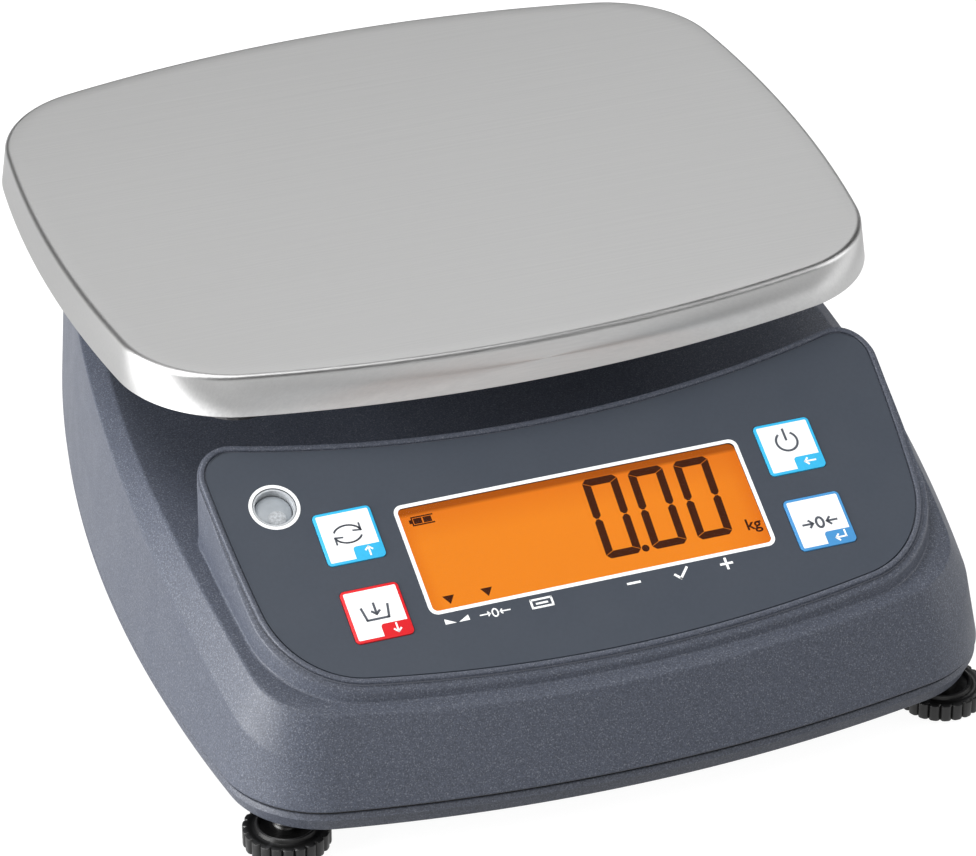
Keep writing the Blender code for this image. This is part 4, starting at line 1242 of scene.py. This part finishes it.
def threaded_stud(top):
    """A stud from the wheel's hub up to a height, its thread drawn as rings one pitch apart."""
    profile = [(0.0048, WHEEL_TOP), (THREAD_CREST, 0.0064)]
    ease = 0.0004
    ring = ((THREAD_ROOT, 0), (THREAD_CREST, 0.45), (THREAD_CREST, 0.55), (THREAD_ROOT, 1))
    for i in range(int((top - ease - THREAD_START) / THREAD_PITCH)):
        z = THREAD_START + THREAD_PITCH * i
        profile += [(radius, z + THREAD_PITCH * share) for radius, share in ring]
    return lathe([*profile, (0.0034, top - ease), (0, top)], 40)


def foot(name):
    """A knurled wheel with its threaded stud, and the rubber pad that it turns on."""
    high = box_of(f"foot_wheel_{name}")[1]
    centre = middle_of(f"foot_pad_{name}")
    wheel = bmesh.new()
    wheel_disc(wheel)
    merge(wheel, threaded_stud(high.z))
    shift(wheel, centre.x, centre.y)
    body, node = f"wheel_{name}", f"foot_wheel_{name}"
    finish_mesh(f"knurled_wheel_{name}", wheel, BLACK, body, 40, node)
    sole = [(0, 0.0022), (0.0096, 0.0022), (0.0096, 0.0006), (0.0094, 0.0002), (0.0088, 0.0)]
    for i in range(4):
        r = 0.008 - 0.0018 * i
        sole += [(r, 0.0), (r - 0.0003, 0.0004), (r - 0.0008, 0.0004), (r - 0.0011, 0.0)]
    pad = shift(lathe([*sole, (0, 0.0)], 72), centre.x, centre.y)
    body, node = f"foot_{name}", f"foot_pad_{name}"
    finish_mesh(f"foot_sole_{name}", pad, RUBBER, body, 40, node)


# ---------------------------------------------------------------- carried-over CAD nodes


def coat_nodes():
    """Every CAD node that stays shown gets its finish here, by the start of its name."""
    coats = {
        "switch_": BLACK, "level_holder": BLACK, "buzzer": BLACK, "power_jack": BLACK,
        "dust_seal": RUBBER, "load_cell_cable": RUBBER, "plate_pad_": RUBBER,
        "display_backlight": WHITE_PLASTIC, "display_board": BOARD, "main_board": BOARD,
        "load_cell_spacer": ZINC, "load_cell_bolt": ZINC, "overload_stop": ZINC,
        "carrier_bolt": ZINC, "housing_screw": ZINC, "load_cell": CELL, "load_post": SHADE_DARKENED_CAST,
        "carrier_spider": SHADE_DARKENED_CAST, "foot_insert_": BRASS, "battery_cover": GREY_DARK,
        "battery_pack": wrapped_film("battery_film", (0.05, 0.055, 0.06)),
        "battery_lead": printed_film("lead_red", (0.5, 0.02, 0.02)),
        "display_ribbon": printed_film("ribbon_white", (0.72, 0.72, 0.7)),
    }
    for name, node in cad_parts.items():
        match = max((k for k in coats if name.startswith(k)), key=len, default=None)
        if match is None:
            continue
        for slot in node.material_slots:
            slot.material = coats[match]


# ---------------------------------------------------------------- stage


def stage():
    floor = bpy.data.meshes.new("floor")
    builder = bmesh.new()
    bmesh.ops.create_grid(builder, x_segments=2, y_segments=2, size=6.0)
    builder.to_mesh(floor)
    builder.free()
    ground = add_object("floor", floor)
    ground.location.z = -0.0002
    floor.materials.append(pale_floor("floor_white"))


def area_light(name, at, size, power):
    data = bpy.data.lights.new(name, "AREA")
    data.shape = "RECTANGLE"
    data.size, data.size_y = size
    data.energy = power
    lamp = add_object(name, data)
    lamp.location = Vector(at) + TO_FRAME
    aim = Vector(LIGHTS_AIM) - Vector(at)
    lamp.rotation_euler = aim.to_track_quat("-Z", "Y").to_euler()


def surroundings():
    """White to the camera, dark in reflections, and a soft light that fades towards the horizon."""
    n = Nodes("studio", bpy.data.worlds, "Background")
    bpy.context.scene.world = n.made
    path = n.add("ShaderNodeLightPath")
    place = n.add("ShaderNodeTexCoord")
    split = n.add("ShaderNodeSeparateXYZ", Vector=place.outputs["Generated"])
    soft = n.ramp(split.outputs["Z"], 0.0, 0.5, 0.2 * SKY_SOFT, SKY_SOFT)
    strength = n.add("ShaderNodeMath", {"operation": "MULTIPLY_ADD"})
    n.put(strength.inputs[0], path.outputs["Is Diffuse Ray"])
    n.put(strength.inputs[1], soft)
    n.put(strength.inputs[2], path.outputs["Is Camera Ray"])
    n.set(Strength=strength.outputs[0], Color=(1.0, 1.0, 1.0))


def lights():
    bpy.context.scene.view_settings.view_transform = "Standard"
    surroundings()
    for name, (at, size, power) in LAMPS.items():
        area_light(name, at, size, power)


def camera():
    data = bpy.data.cameras.new("camera")
    data.sensor_width = 36.0
    data.lens = CAMERA_LENS
    data.shift_x, data.shift_y = CAMERA_SHIFT
    data.clip_start, data.clip_end = 0.05, 20.0
    obj = add_object("camera", data)
    turn = Matrix.Rotation(CAMERA_TURN, 4, "Z") @ Matrix.Rotation(math.pi / 2 - CAMERA_DIP, 4, "X")
    turn = turn @ Matrix.Rotation(CAMERA_ROLL, 4, "Z")
    obj.matrix_world = Matrix.Translation(Vector(CAMERA_AT) + TO_FRAME) @ turn
    bpy.context.scene.camera = obj


housing_shell()
panel_block()
base_tray()
gasket()
weighing_plate()
foil()
panel_prints()
keys()
display()
level()
for foot_name in FEET:
    foot(foot_name)
coat_nodes()
stage()
lights()
camera()
